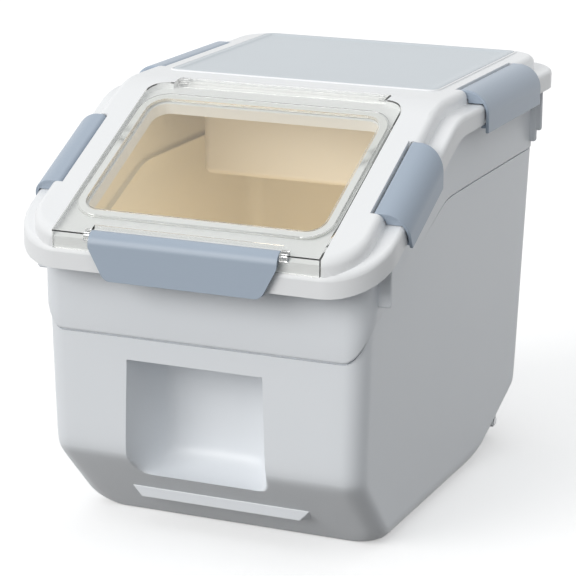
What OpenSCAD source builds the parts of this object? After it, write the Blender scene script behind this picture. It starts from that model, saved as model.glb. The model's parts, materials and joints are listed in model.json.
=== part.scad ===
// Rice bin with a clear flip lid, in millimetres, +Z up, standing on Z = 0.
// Inside the modules Y = 0 is the front face of the tub's collar and +Y runs to the back.
// The finished pieces are shifted so that the middle of the footprint is the origin.

/* [Tub] */
// Width over the collar
collar_w = 248; // [245:1:252]
// Depth over the collar
collar_d = 356; // [348:1:364]
// Wall thickness of the tub
wall_t = 3; // [2.4:0.1:3.6]
// Width of the body at its foot, before the bottom edge is rounded
base_w = 233; // [224:1:240]
// Width of the body just under the collar
body_top_w = 246; // [241:1:247]
// Distance from the front face back to the flat base
base_front = 60; // [50:1:70]
// Distance from the front face to the back edge of the flat base
base_rear = 240; // [230:1:252]
// Height of the slanted lower front
front_chamfer_h = 60; // [52:1:68]
// Height of the slanted lower back
rear_chamfer_h = 44; // [38:1:50]
// How far the front and back of the body stand in from the collar
end_step = 1.6; // [1:0.1:3]
// How far the back wall leans in towards its foot
rear_lean = 10; // [4:1:14]
// Radius of the bottom edge along the sides
foot_r = 16; // [10:1:20]
// Height of the collar's lower edge at the front
collar_front_h = 149.5; // [142:0.5:158]
// Height of the collar's lower edge at the back
collar_rear_h = 227; // [218:1:236]
// Distance from the front face to the bend in the collar's lower edge
collar_bend = 168; // [158:1:178]
// Corner radius of the collar
collar_r = 18; // [14:1:22]
// Corner radius of the body
body_r = 15; // [11:1:17]

/* [Front grip] */
// Width of the front grip recess at its top
grip_w = 103; // [90:1:115]
// How much wider the recess is at its foot
grip_flare = 8; // [2:1:12]
// Sideways offset of the recess
grip_shift = -5; // [-10:1:4]
// Height of the recess's top edge
grip_top = 132; // [122:1:140]
// Depth of the recess
grip_depth = 13; // [9:0.5:18]
// Length of the finger ledge on the slanted front
ledge_len = 140; // [120:1:160]
// Height of the finger ledge's face
ledge_h = 8.5; // [6:0.5:11]
// Distance from the front face back to the ledge's face
ledge_back = 32; // [28:1:38]

/* [Rim] */
// How far the rim stands out past the collar at the sides
rim_side = 10.5; // [9.5:0.1:12]
// How far the rim stands out past the collar at the front
rim_end = 19.7; // [18:0.1:23]
// How far the rim stands out past the collar at the back
rim_rear = 18.7; // [14:0.1:22]
// Corner radius of the rim
rim_r = 36; // [30:1:40]
// Thickness of the rim
rim_t = 2.5; // [2:0.1:3]
// Height of the rim's turned-down edge
rim_edge_h = 6.6; // [5:0.1:7]
// Thickness of the side gussets under the rim
gusset_t = 2.6; // [2:0.1:4]
// Width of the front gussets
gusset_w = 8; // [6:0.5:9]
// Width of the foot of the rear gussets
gusset_foot_w = 5; // [3:0.5:7]
// Height that the gussets reach below the rim
gusset_h = 44; // [38:1:50]
// Height of the wider part of the rear gussets
gusset_wide_h = 35; // [24:1:37]
// Distance from the front face to the front gusset
gusset_front = 21; // [16:1:26]
// Distance from the back face to the rear gusset
gusset_rear = 18; // [14:1:24]

/* [Lid form] */
// Slope of the window side of the lid, in degrees
slope = 26.5; // [24:0.5:28]
// Height of the lid's top surface at its front edge
lid_front_h = 226.5; // [222:0.5:231]
// Height of the flat deck
deck_h = 304; // [298:1:310]
// Radius of the bend between the slope and the deck
bend_r = 70; // [55:1:85]
// Wall thickness of the lid frame
lid_t = 2.5; // [2.2:0.1:3]
// Gap between the lid's skirt and the tub's rim
skirt_gap = 0.8; // [0.6:0.1:1.1]
// Depth of the outer ledge below the top surface
ledge_drop = 10; // [9.5:0.1:10.6]
// Height of the skirt below the outer ledge
skirt_h = 14; // [13:0.1:15]
// Width of the outer ledge at the sides
ledge_w = 13.3; // [12.3:0.1:14.3]
// Corner radius of the raised middle
plateau_r = 28; // [22:1:34]
// Edge radius of the raised middle
plateau_edge = 5.5; // [4:0.1:6]
// Edge radius of the outer ledge
skirt_edge = 3.5; // [2.5:0.1:4]

/* [Window] */
// Width of the window opening
window_w = 177; // [167:1:180]
// Distance up the slope from the front edge to the opening
window_start = 26.5; // [24:0.5:32]
// Length of the opening up the slope
window_len = 125; // [110:1:128]
// Corner radius of the opening
window_r = 12; // [8:1:18]
// Depth of the collar round the opening, below the seal land
window_rim_h = 9; // [6:0.5:12]
// Width of the window seal
seal_w = 5; // [4:0.1:6]

/* [Flip lid] */
// Width of the flip lid
flip_w = 197.4; // [194:0.2:200]
// Thickness of the flip lid
flip_t = 2.5; // [2:0.1:2.8]
// How far the flip lid stands above the frame round it
flip_proud = 1; // [0.6:0.1:1.4]
// Height of the turned-down front lip
flip_lip_h = 12.5; // [10:0.5:13]
// Corner radius at the flip lid's back
flip_r = 15; // [10:1:20]
// Distance from the front face to the flip lid's hinge
flip_hinge_back = 143; // [140:1:146]
// Radius of the flip lid's hinge barrel
flip_barrel_r = 4; // [3.6:0.1:4.2]
// Length of the flip lid's hinge barrel
flip_barrel_len = 164; // [150:1:168]
// Diameter of the flip lid's hinge pins
flip_pin_d = 3; // [2.5:0.1:3.4]

/* [Latches] */
// Wall thickness of the latches
latch_t = 2.4; // [2:0.1:2.6]
// Diameter of the latch pins
latch_pin_d = 2.5; // [2:0.1:2.8]
// Radius of the side latches' hinge barrel
side_barrel_r = 3.1; // [2.8:0.1:3.2]
// Radius of the side latches' bend
side_bend_r = 17.3; // [16.8:0.1:17.8]
// How far the side latches hang below the top surface
side_latch_h = 30; // [29:0.5:33]
// Distance up the slope to the front side latches
slope_latch_start = 51; // [46:1:56]
// Length of the front side latches
slope_latch_len = 78; // [68:1:84]
// Distance from the front face to the rear side latches
deck_latch_start = 186; // [180:1:192]
// Length of the rear side latches
deck_latch_len = 120; // [104:1:128]
// Width of the front latch
front_latch_w = 139.6; // [130:0.2:146]
// Width of the front latch at its foot
front_latch_foot_w = 116; // [106:1:124]
// How far the front latch hangs below the lid's front edge
front_latch_h = 31; // [29.5:0.5:34]
// Radius of the front latch's hinge barrel
front_barrel_r = 3.6; // [3.2:0.1:3.8]
// Radius of the front latch's bend
front_bend_r = 9; // [8.6:0.1:9.6]

/* [Deck and storage box] */
// Width of the deck cover
cover_w = 210; // [200:1:214]
// Depth of the deck cover
cover_d = 180; // [168:1:182]
// Distance from the front face to the deck cover
cover_back = 174; // [171:1:180]
// Thickness of the deck cover
cover_t = 3; // [2.4:0.1:3.4]
// Corner radius of the deck cover
cover_r = 6; // [3:1:10]
// Width of the storage box under the deck
box_w = 168; // [150:1:176]
// Depth from the deck to the underside of the storage box
box_h = 80; // [60:1:90]
// Wall thickness of the storage box
box_t = 2; // [1.6:0.1:2.5]
// Corner radius of the storage box
box_r = 8; // [5:1:14]
// Width of the storage box's flange
box_flange = 7; // [5:0.5:9]

/* [Rollers] */
// Diameter of the rear rollers
wheel_d = 20; // [17:0.5:21]
// Width of the rear rollers
wheel_w = 12; // [9:0.5:14]
// Diameter of the roller axles
axle_d = 4; // [3:0.5:5]
// Distance from the front face to the axles
wheel_back = 316; // [308:1:324]
// Height of the axles above the base
wheel_h = 14; // [13:0.1:16]
// Distance from the middle to the middle of each roller
wheel_side = 98; // [86:1:100]

/* [Hidden] */
$fn = 48;

// Clearances
running = 0.05;
clear = 0.3;
loose = 0.6;
// Overlap where a flat wall runs into a bend
seam = 0.2;

// A span longer than any piece, for cutting blocks
far = 600;
// Segments in the bend of the lid's side profile
bend_steps = 8;
// Layers in a rounded edge
edge_steps = 4;
// Layers in the rounded bottom edge
foot_steps = 3;
// Segments in the front latch's bend
arc_steps = 10;

// Outlines seen from above
rim_x = collar_w / 2 + rim_side;
rim_back = collar_d + rim_rear;
rear_low_y = collar_d - end_step - rear_lean;
skirt_in_x = rim_x + skirt_gap;
skirt_x = skirt_in_x + lid_t;
skirt_in_end = rim_end + skirt_gap;
skirt_end = skirt_in_end + lid_t;
skirt_in_back = rim_back + skirt_gap;
skirt_back = skirt_in_back + lid_t;
skirt_r = rim_r + skirt_gap + lid_t;
plateau_x = skirt_x - ledge_w;
plateau_front = -skirt_end + 0.4;
plateau_rear = skirt_back - ledge_w;
lid_front_y = plateau_front;

// Side profile of the lid: the slope, a bend and the deck. A drop is measured square to it.
bend_y = lid_front_y + (deck_h - lid_front_h) / tan(slope) + bend_r * tan(slope / 2);
bend_z = deck_h - bend_r;
rim_drop = ledge_drop + lid_t + 3.3;
skirt_drop = ledge_drop + skirt_h;
function bend_point(drop, a) = [bend_y - (bend_r - drop) * sin(a), bend_z + (bend_r - drop) * cos(a)];
function slope_z(y, drop) = lid_front_h + (y - lid_front_y) * tan(slope) - drop / cos(slope);
function profile_z(y, drop) = y >= bend_y ? deck_h - drop : slope_z(y, drop);
function slope_y(u) = lid_front_y + u * cos(slope);

// Flip lid hinge axis
flip_hinge_y = flip_hinge_back;
flip_hinge_z = bend_z + sqrt(pow(bend_r + flip_proud - flip_barrel_r, 2) - pow(bend_y - flip_hinge_y, 2));
flip_side_rear = flip_hinge_y - 10;
flip_lip_y = -skirt_end - 1.1;
flip_lip_t = 2.6;
flip_lip_low = slope_z(flip_lip_y, -flip_proud) - flip_lip_h;
flip_pin_in = 7;
flip_pin_len = 14;
pin_boss = 9;
recess_drop = flip_t - flip_proud + 3.5;
recess_gap = 0.7;
hinge_gap = 2.6;
pocket_drop = 2 * flip_barrel_r - flip_proud + 0.8;

// Front latch axis
front_pin_y = flip_lip_y + 4;
front_pin_z = slope_z(front_pin_y, -flip_proud) - front_barrel_r / cos(slope);
front_face_y = flip_lip_y - 0.9 - latch_t;
front_bend_y = front_face_y + front_bend_r;
front_bend_z = slope_z(front_bend_y, -flip_proud) - front_bend_r / cos(slope);
front_foot_z = lid_front_h - front_latch_h;
skirt_low = slope_z(-skirt_end, skirt_drop);
// Height above the skirt's lower edge where the latch starts to narrow
front_taper_h = 18;
knuckle_w = 5;
knuckle_gap = 0.4;
front_pin_len = front_latch_w + 2 * (knuckle_gap + knuckle_w);

// Side latch section, measured out from the middle and down from the top surface
side_bend_x = plateau_x - 0.5;
side_pin_x = plateau_x - 4.5;
side_pin_drop = side_barrel_r + 0.1;
notch_x = side_pin_x - side_barrel_r - 1.6;
notch_drop = side_pin_drop + side_barrel_r + 0.7;
seat_t = 2.5;
seat_len = 9;
latch_end_gap = 0.5;
slope_latch_end_y = slope_y(slope_latch_start + slope_latch_len);
pin_hold = 7;
lip_drop = skirt_drop + 0.5;
lip_t = 2.6;
lip_gap = 0.8;
relief_drop = skirt_drop - 3.5;

// Deck cover and storage box, measured down from the top surface
cover_proud = 1;
cover_gap = 0.4;
cover_seat = cover_t - cover_proud + clear;
box_flange_t = 2;
box_seat = cover_seat + box_flange_t;
// Gap between the deck cover's rib and the box, and the rib's thickness and reach
rib_gap = 0.6;
rib_t = 2;
rib_drop = 2;
box_y0 = cover_back + 2 + box_flange;
box_y1 = cover_back + cover_d - 2 - box_flange;
bead_w = 1.4;
bead_h = 0.8;

// Seals
seal_in = 1.5;
seal_rib = 1.2;
rim_seal_out = 4.2;
rim_seal_w = 5;
rim_seal_in = rim_seal_out + rim_seal_w + clear + seal_rib;

// Rollers
wheel_gap = 1.5;
cheek_gap = 1;
cheek_t = 3;
cheek_r = axle_d / 2 + 3;
axle_half = wheel_w / 2 + cheek_gap + cheek_t;

// Footprint: the front latch is foremost and the skirt is rearmost
mid_y = (front_face_y + skirt_back) / 2;

// Colours
white = [0.93, 0.94, 0.95];
blue_grey = [0.60, 0.67, 0.74];
pale_grey = [0.81, 0.84, 0.86];
clear_tint = [0.85, 0.88, 0.90, 0.4];
milky = [0.88, 0.90, 0.92];
cream = [0.92, 0.88, 0.78];
steel = [0.75, 0.76, 0.78];
dark = [0.25, 0.26, 0.28];

// Rounded outline seen from above, from y0 to y1
module outline(hx, y0, y1, r) {
    translate([-hx + r, y0]) square([2 * (hx - r), y1 - y0]);
    translate([-hx, y0 + r]) square([2 * hx, y1 - y0 - 2 * r]);
    for (x = [-hx + r, hx - r], y = [y0 + r, y1 - r]) translate([x, y]) circle(r);
}

module post(hx, y0, y1, r, z0 = -50, z1 = 400) {
    translate([0, 0, z0]) linear_extrude(z1 - z0) outline(hx, y0, y1, r);
}

// A shape drawn as (y, z) and drawn out along X, centred
module across(w) {
    rotate([90, 0, 90]) linear_extrude(w, center = true) children();
}

// Everything below the lid's side profile, less a drop
module below(drop) {
    y0 = lid_front_y - 80;
    y1 = collar_d + 120;
    across(far) polygon(concat(
        [[y0, -60], [y0, slope_z(y0, drop)]],
        [for (i = [0:bend_steps]) bend_point(drop, slope * (1 - i / bend_steps))],
        [[y1, deck_h - drop], [y1, -60]]));
}

module band(top_drop, bottom_drop) {
    difference() {
        below(top_drop);
        below(bottom_drop);
    }
}

// Frame whose Y runs up the slope and whose Z stands square to it
module on_slope(u) {
    translate([0, lid_front_y, lid_front_h]) rotate([slope, 0, 0]) translate([0, u, 0]) children();
}

module on_deck(y) {
    translate([0, y, deck_h]) children();
}

// A block with rounded upright corners and a rounded top edge that follows the side profile
module crowned(hx, y0, y1, r, edge, drop) {
    hull() for (i = [0:edge_steps]) {
        a = 90 * i / edge_steps;
        in = edge * (1 - cos(a));
        intersection() {
            post(hx - in, y0 + in, y1 - in, r - in, 100, 400, $fn = 32);
            below(drop + edge * (1 - sin(a)));
        }
    }
}

/* Tub */
function half_at(z) = base_w / 2 + (body_top_w - base_w) / 2 * z / collar_rear_h;
function front_at(z) = end_step + (base_front - end_step) * max(0, 1 - z / front_chamfer_h);
function rear_at(z) = z < rear_chamfer_h ? base_rear + (rear_low_y - base_rear) * z / rear_chamfer_h
    : rear_low_y + rear_lean * min(1, (z - rear_chamfer_h) / (collar_rear_h - rear_chamfer_h));

// Four thin discs, one in each corner of the body at height z, drawn in by an inset and further at the sides
module corner_discs(z, inset, side_inset, rise) {
    r = body_r - inset;
    x = half_at(z) - inset - side_inset - r;
    for (m = [-1, 1], y = [front_at(z) + inset + r, rear_at(z) - inset - r])
        translate([m * x, y, z + rise]) cylinder(0.5, r = r, $fn = 32);
}

module body_form(inset) {
    top_z = collar_rear_h + 14;
    slack = inset == 0 ? 0 : 1;
    hull() {
        for (i = [0:foot_steps]) {
            a = 90 * i / foot_steps;
            corner_discs(foot_r * (1 - cos(a)), inset, foot_r * (1 - sin(a)), inset * cos(a));
        }
        for (z = [front_chamfer_h, rear_chamfer_h]) corner_discs(z, inset, 0, inset * 0.45);
        corner_discs(top_z, inset, 0, slack);
    }
}

// Everything above the collar's lower edge, raised by a lift
module above_collar_edge(lift) {
    across(far) polygon([[-80, collar_front_h + lift], [0, collar_front_h + lift],
        [collar_bend, collar_rear_h + lift], [collar_d + 80, collar_rear_h + lift],
        [collar_d + 80, 400], [-80, 400]]);
}

module collar(inset, lift) {
    intersection() {
        post(collar_w / 2 - inset, inset, collar_d - inset, collar_r - inset);
        above_collar_edge(lift);
    }
}

module rim() {
    edge_in = rim_t;
    intersection() {
        post(rim_x, -rim_end, rim_back, rim_r);
        band(rim_drop, rim_drop + rim_t);
    }
    difference() {
        intersection() {
            post(rim_x, -rim_end, rim_back, rim_r);
            band(rim_drop, rim_drop + rim_edge_h);
        }
        post(rim_x - edge_in, -rim_end + edge_in, rim_back - edge_in, rim_r - edge_in);
    }
}

module gusset(m, y, w, h) {
    top = profile_z(y, rim_drop + rim_t / 2);
    translate([m > 0 ? collar_w / 2 - 1 : -collar_w / 2 - w, y - gusset_t / 2, top - h])
        cube([w + 1, gusset_t, h]);
}

module gussets() {
    rear = collar_d - gusset_rear;
    for (m = [-1, 1]) {
        gusset(m, gusset_front, gusset_w, gusset_h);
        gusset(m, rear, gusset_foot_w, gusset_h);
        gusset(m, rear, rim_side - rim_t / 2, gusset_wide_h);
    }
}

function rear_z(y) = rear_chamfer_h * (y - base_rear) / (rear_low_y - base_rear);

function chamfer_z(y) = front_chamfer_h * (base_front - y) / (base_front - end_step);

module finger_ledge() {
    top = chamfer_z(ledge_back);
    low = top - ledge_h;
    back = base_front - low * (base_front - end_step) / front_chamfer_h + 1.5;
    intersection() {
        across(ledge_len) polygon([[ledge_back, top + 1], [ledge_back, low], [back, low],
            [ledge_back + 5, top + 3]]);
        translate([0, 0, low - 1]) linear_extrude(ledge_h + 5) polygon([
            [-ledge_len / 2, ledge_back + 6], [-ledge_len / 2 + 7, ledge_back],
            [ledge_len / 2 - 7, ledge_back], [ledge_len / 2, ledge_back + 6],
            [ledge_len / 2, back + 6], [-ledge_len / 2, back + 6]]);
    }
}

// The grip recess seen from the front, drawn back into the body; it runs out at the slanted front
module grip_form(grow, depth) {
    top = grip_top + grow;
    half = grip_w / 2 + grow;
    foot = half + grip_flare / 2;
    translate([grip_shift, depth, 0]) rotate([90, 0, 0]) linear_extrude(depth + 20) {
        polygon([[-foot, -1], [foot, -1], [half, top - 6], [half - 6, top], [-half + 6, top], [-half, top - 6]]);
    }
}

// Space round a roller; with a wall it is the housing that the space is cut from
module wheel_well(m, wall) {
    r = wheel_d / 2 + wheel_gap + wall;
    half = wheel_w / 2 + cheek_gap + (wall > 0 ? cheek_t + 4 : 0);
    translate([m * wheel_side - half, wheel_back, wheel_h]) rotate([0, 90, 0]) cylinder(2 * half, r = r);
}

module wheel_cheeks(m) {
    for (side = [-1, 1]) {
        x = m * wheel_side + side * (wheel_w / 2 + cheek_gap + cheek_t / 2) - cheek_t / 2;
        translate([x, wheel_back, wheel_h]) rotate([0, 90, 0]) cylinder(cheek_t, r = cheek_r);
        translate([x, wheel_back - cheek_r, wheel_h])
            cube([cheek_t, 2 * cheek_r, rear_z(wheel_back + cheek_r) + wall_t / 2 - wheel_h]);
    }
}

module axle_bore(m) {
    half = axle_half + 1;
    translate([m * wheel_side - half, wheel_back, wheel_h]) rotate([0, 90, 0])
        cylinder(2 * half, d = axle_d);
}

module tub_cavity() {
    body_form(wall_t);
    collar(wall_t, wall_t);
}

module tub() color(white) {
    difference() {
        intersection() {
            union() {
                body_form(0);
                collar(0, 0);
                rim();
                gussets();
                finger_ledge();
                for (m = [-1, 1]) wheel_cheeks(m);
            }
            below(rim_drop);
        }
        difference() {
            tub_cavity();
            grip_form(wall_t, grip_depth + wall_t);
            for (m = [-1, 1]) wheel_well(m, wall_t);
        }
        grip_form(0, grip_depth);
        for (m = [-1, 1]) {
            wheel_well(m, 0);
            axle_bore(m);
        }
    }
}

/* Lid frame */
module lid_skin() {
    difference() {
        crowned(plateau_x, plateau_front, plateau_rear, plateau_r, plateau_edge, 0);
        below(ledge_drop + 1);
    }
    difference() {
        crowned(skirt_x, -skirt_end, skirt_back, skirt_r, skirt_edge, ledge_drop);
        below(skirt_drop);
    }
}

// Outline of the flip lid seen from above, grown by a gap: the plate, then the narrower hinge part
module flip_footprint(gap) {
    post(flip_w / 2 + gap, flip_lip_y - 40, flip_side_rear + gap, flip_r + gap);
    translate([-flip_barrel_len / 2 - gap, flip_side_rear - 30, -50])
        cube([flip_barrel_len + 2 * gap, flip_hinge_y - flip_side_rear + 30, 450]);
}

module flip_recess() {
    reach = flip_barrel_r + hinge_gap;
    difference() {
        flip_footprint(recess_gap);
        below(recess_drop);
    }
    difference() {
        translate([-flip_barrel_len / 2 - recess_gap, flip_hinge_y - flip_barrel_r - 1.6, 0])
            cube([flip_barrel_len + 2 * recess_gap, flip_barrel_r + 1.6 + reach, 400]);
        below(pocket_drop);
    }
    translate([-flip_w / 2 - recess_gap, -skirt_end - 30, flip_lip_low - recess_gap])
        cube([flip_w + 2 * recess_gap, 30 + skirt_end + flip_lip_y + flip_lip_t + 0.8, 60]);
}

module window_form(grow, drop) {
    on_slope(0) translate([0, 0, -drop]) linear_extrude(drop + 20)
        outline(window_w / 2 + grow, window_start - grow, window_start + window_len + grow, window_r + grow);
}

// Runs a section, drawn as (x outwards, height), along the lid: on the slope or on the deck
module run_slope(start, len) {
    on_slope(start + len) rotate([90, 0, 0]) linear_extrude(len) children();
}

module run_deck(start, len) {
    on_deck(start + len) rotate([90, 0, 0]) linear_extrude(len) children();
}

// The front side latches end at an upright plane, so their seats and lips do too
module run_latch(site, trim) {
    if (site == "slope") {
        intersection() {
            run_slope(slope_latch_start + trim, slope_latch_len + 30) children();
            translate([-far / 2, -far, 0]) cube([far, far + slope_latch_end_y - trim, 500]);
        }
    } else {
        run_deck(deck_latch_start + trim, deck_latch_len - 2 * trim) children();
    }
}

module span(x0, x1, drop0, drop1) {
    translate([x0, -drop1]) square([x1 - x0, drop1 - drop0]);
}

module both_sides() {
    children();
    mirror([1, 0, 0]) children();
}

module latch_seats() {
    both_sides() for (site = ["slope", "deck"])
        run_latch(site, -seat_len) span(notch_x - seat_t, plateau_x, 0, ledge_drop + lid_t);
}

module latch_cuts() {
    both_sides() for (site = ["slope", "deck"]) {
        run_latch(site, -latch_end_gap) span(notch_x, skirt_x + 20, -20, notch_drop);
        run_latch(site, 1) span(skirt_in_x - 0.4, skirt_x + 5, relief_drop, skirt_drop + 20);
    }
    both_sides() {
        // The latch's upper end is upright, so its barrel swings past the seat's end as it opens
        run_slope(slope_latch_start - latch_end_gap, slope_latch_len + 2 * latch_end_gap)
            translate([side_pin_x, -side_pin_drop]) circle(side_barrel_r + loose);
        run_slope(slope_latch_start - pin_hold, slope_latch_len + 2 * pin_hold)
            translate([side_pin_x, -side_pin_drop]) circle(d = latch_pin_d);
        run_deck(deck_latch_start - pin_hold, deck_latch_len + 2 * pin_hold)
            translate([side_pin_x, -side_pin_drop]) circle(d = latch_pin_d);
    }
}

// What stays solid under the raised middle: floors, seats and bosses
module lid_inner_parts() {
    pan_x = flip_w / 2 + recess_gap + lid_t;
    // Floor under the flip lid
    intersection() {
        translate([-pan_x, plateau_front - 5, 0]) cube([2 * pan_x, flip_side_rear - plateau_front + 12, 400]);
        band(-5, recess_drop + lid_t);
    }
    // Wall round the opening
    window_form(lid_t, recess_drop + window_rim_h);
    // Floor and bosses of the hinge
    intersection() {
        translate([-flip_barrel_len / 2 - pin_boss, flip_hinge_y - flip_barrel_r - 4, 0])
            cube([flip_barrel_len + 2 * pin_boss, 2 * flip_barrel_r + hinge_gap + 4 + lid_t, 400]);
        band(-5, pocket_drop + lid_t);
    }
    // Bar behind the flip lid's front lip
    intersection() {
        translate([-pan_x, -rim_end - 10, 0]) cube([2 * pan_x, 10 + rim_seal_in, 400]);
        band(-5, ledge_drop + lid_t);
    }
    // Land that carries the seal where there is no ledge above it
    difference() {
        band(ledge_drop, ledge_drop + lid_t);
        rim_post(rim_seal_in);
    }
    // Floor under the deck cover
    intersection() {
        post(cover_w / 2 + cover_gap + 2, cover_back - 3, cover_back + cover_d + 3, cover_r + 2);
        band(-5, box_seat + lid_t);
    }
    latch_seats();
    seal_ribs();
}

// The rim's outline drawn in by an inset
module rim_post(inset) {
    post(rim_x - inset, -rim_end + inset, rim_back - inset, rim_r - inset);
}

module rim_ring(inset, width) {
    difference() {
        rim_post(inset);
        rim_post(inset + width);
    }
}

module seal_ribs() {
    intersection() {
        union() {
            rim_ring(rim_seal_out - clear - seal_rib, seal_rib);
            rim_ring(rim_seal_out + rim_seal_w + clear, seal_rib);
        }
        band(ledge_drop, ledge_drop + lid_t + 1.6);
    }
}

module lid_hollow() {
    difference() {
        union() {
            crowned(plateau_x - lid_t, plateau_front + lid_t, plateau_rear - lid_t, plateau_r - lid_t,
                plateau_edge - lid_t, lid_t);
            intersection() {
                post(skirt_in_x, -skirt_in_end, skirt_in_back, skirt_r - lid_t);
                below(ledge_drop + lid_t);
            }
        }
        lid_inner_parts();
    }
}

module lid_frame() color(white) {
    difference() {
        union() {
            difference() {
                lid_skin();
                lid_hollow();
            }
            // Raised bead round the deck cover
            translate([0, 0, deck_h - 1]) linear_extrude(1 + bead_h)
                outline(cover_w / 2 + cover_gap + bead_w, cover_back - cover_gap - bead_w,
                    cover_back + cover_d + cover_gap + bead_w, cover_r + cover_gap + bead_w);
        }
        flip_recess();
        front_pin_place(front_pin_len + 2) cylinder(front_pin_len + 2, r = front_barrel_r + loose);
        window_form(0, 60);
        latch_cuts();
        // Bores of the flip lid's hinge pins
        for (m = [-1, 1]) flip_pin_place(m) cylinder(flip_pin_len, d = flip_pin_d);
        // Seat of the deck cover, seat of the box's flange and the way through for the box
        post(cover_w / 2 + cover_gap, cover_back - cover_gap, cover_back + cover_d + cover_gap,
            cover_r + cover_gap, deck_h - cover_seat, 400);
        post(box_w / 2 + box_flange + cover_gap, box_y0 - box_flange - cover_gap,
            box_y1 + box_flange + cover_gap, box_r + box_flange, deck_h - box_seat, 400);
        post(box_w / 2 + cover_gap, box_y0 - cover_gap, box_y1 + cover_gap, box_r + cover_gap, 200, 400);
    }
}

module flip_pin_place(m) {
    translate([m * (flip_barrel_len / 2 - flip_pin_in), flip_hinge_y, flip_hinge_z])
        rotate([0, m * 90, 0]) children();
}

module lid_seal() color(milky) {
    intersection() {
        rim_ring(rim_seal_out, rim_seal_w);
        band(ledge_drop + lid_t, rim_drop - clear);
    }
}

/* Deck cover and storage box */
module deck_cover() color(pale_grey) {
    difference() {
        union() {
            post(cover_w / 2, cover_back, cover_back + cover_d, cover_r,
                deck_h + cover_proud - cover_t, deck_h + cover_proud);
            // Locating rib that drops into the box
            rib_post(0, deck_h - box_seat - rib_drop, deck_h);
        }
        rib_post(rib_t, deck_h - box_seat - rib_drop - 1, deck_h + cover_proud - cover_t);
    }
}

module rib_post(inset, z0, z1) {
    gap = box_t + rib_gap + inset;
    post(box_w / 2 - gap, box_y0 + gap, box_y1 - gap, box_r - box_t - inset / 2, z0, z1);
}

module storage_box() color(cream) {
    difference() {
        union() {
            post(box_w / 2, box_y0, box_y1, box_r, deck_h - box_h, deck_h - box_seat + 1);
            post(box_w / 2 + box_flange, box_y0 - box_flange, box_y1 + box_flange, box_r + box_flange,
                deck_h - box_seat, deck_h - box_seat + box_flange_t);
        }
        post(box_w / 2 - box_t, box_y0 + box_t, box_y1 - box_t, box_r - box_t, deck_h - box_h + box_t, 400);
    }
}

/* Flip lid */
module front_pin_place(len) {
    translate([-len / 2, front_pin_y, front_pin_z]) rotate([0, 90, 0]) children();
}

module flip_lid() color(clear_tint) {
    knuckle_x = front_latch_w / 2 + knuckle_gap;
    difference() {
        union() {
            // Plate that follows the slope and the bend
            intersection() {
                flip_footprint(0);
                band(-flip_proud, flip_t - flip_proud);
                translate([-far / 2, flip_lip_y, 0]) cube([far, far, 400]);
            }
            // Front lip
            intersection() {
                translate([-flip_w / 2, flip_lip_y, flip_lip_low]) cube([flip_w, flip_lip_t, 40]);
                below(-flip_proud);
            }
            translate([-flip_barrel_len / 2, flip_hinge_y, flip_hinge_z]) rotate([0, 90, 0])
                cylinder(flip_barrel_len, r = flip_barrel_r);
            // Ribs that hold the seal
            on_slope(0) translate([0, 0, -flip_t + flip_proud - 1.5]) linear_extrude(1.6) seal_rib_rings();
        }
        // Room for the front latch
        translate([-knuckle_x, flip_lip_y - 20, front_pin_z - front_barrel_r - 0.9])
            cube([2 * knuckle_x, front_pin_y - flip_lip_y + 20 + front_barrel_r + 0.9, 40]);
        for (m = [-1, 1]) flip_pin_place(m) translate([0, 0, -clear])
            cylinder(flip_pin_len, d = flip_pin_d + 2 * running);
    }
    difference() {
        for (m = [-1, 1]) {
            translate([m * (knuckle_x + knuckle_w / 2) - knuckle_w / 2, front_pin_y, front_pin_z])
                rotate([0, 90, 0]) cylinder(knuckle_w, r = front_barrel_r);
        }
        front_pin_place(front_pin_len) cylinder(front_pin_len, d = latch_pin_d);
    }
}

module ring(grow, width) {
    difference() {
        outline(window_w / 2 + grow + width, window_start - grow - width,
            window_start + window_len + grow + width, window_r + grow + width);
        outline(window_w / 2 + grow, window_start - grow, window_start + window_len + grow, window_r + grow);
    }
}

module seal_rib_rings() {
    ring(seal_in - seal_rib, seal_rib);
    ring(seal_in + seal_w, seal_rib);
}

module window_seal() color(milky) {
    on_slope(0) translate([0, 0, -recess_drop + clear])
        linear_extrude(recess_drop - clear - flip_t + flip_proud) ring(seal_in, seal_w);
}

module flip_hinge_pin_left() color(steel) flip_pin_place(-1) cylinder(flip_pin_len, d = flip_pin_d);

module flip_hinge_pin_right() color(steel) flip_pin_place(1) cylinder(flip_pin_len, d = flip_pin_d);

/* Front latch */
// Points along an arc, from one angle to another
function arc(c, r, a0, a1) = [for (i = [0:arc_steps]) let (a = a0 + (a1 - a0) * i / arc_steps)
    c + r * [cos(a), sin(a)]];

// Section through the latch, drawn as (y, z): a front wall with a lip at its foot and a bend up to the pin
module front_latch_section() {
    bend_c = [front_bend_y, front_bend_z];
    to_pin = atan2(front_pin_z - front_bend_z, front_pin_y - front_bend_y);
    inner_y = front_face_y + latch_t;
    lip_y = -skirt_end - clear;
    lip_z = skirt_low - lip_gap;
    polygon(concat(
        arc(bend_c, front_bend_r, to_pin, 180),
        [[front_face_y, front_foot_z], [inner_y, front_foot_z], [inner_y, lip_z - lip_t], [lip_y, lip_z - lip_t],
            [lip_y, lip_z], [inner_y, lip_z]],
        arc(bend_c, front_bend_r - latch_t, 180, to_pin)));
    translate([front_pin_y, front_pin_z]) circle(front_barrel_r);
}

module front_latch() color(blue_grey) {
    corner = 4;
    difference() {
        intersection() {
            across(front_latch_w) front_latch_section();
            // Outline seen from the front
            rotate([90, 0, 0]) linear_extrude(far, center = true) hull() {
                for (m = [-1, 1]) {
                    translate([m * (front_latch_foot_w / 2 - corner), front_foot_z + corner]) circle(corner, $fn = 24);
                }
                translate([-front_latch_w / 2, skirt_low + front_taper_h]) square([front_latch_w, 60]);
            }
        }
        front_pin_place(front_pin_len) cylinder(front_pin_len, d = latch_pin_d + 2 * running);
    }
}

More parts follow.
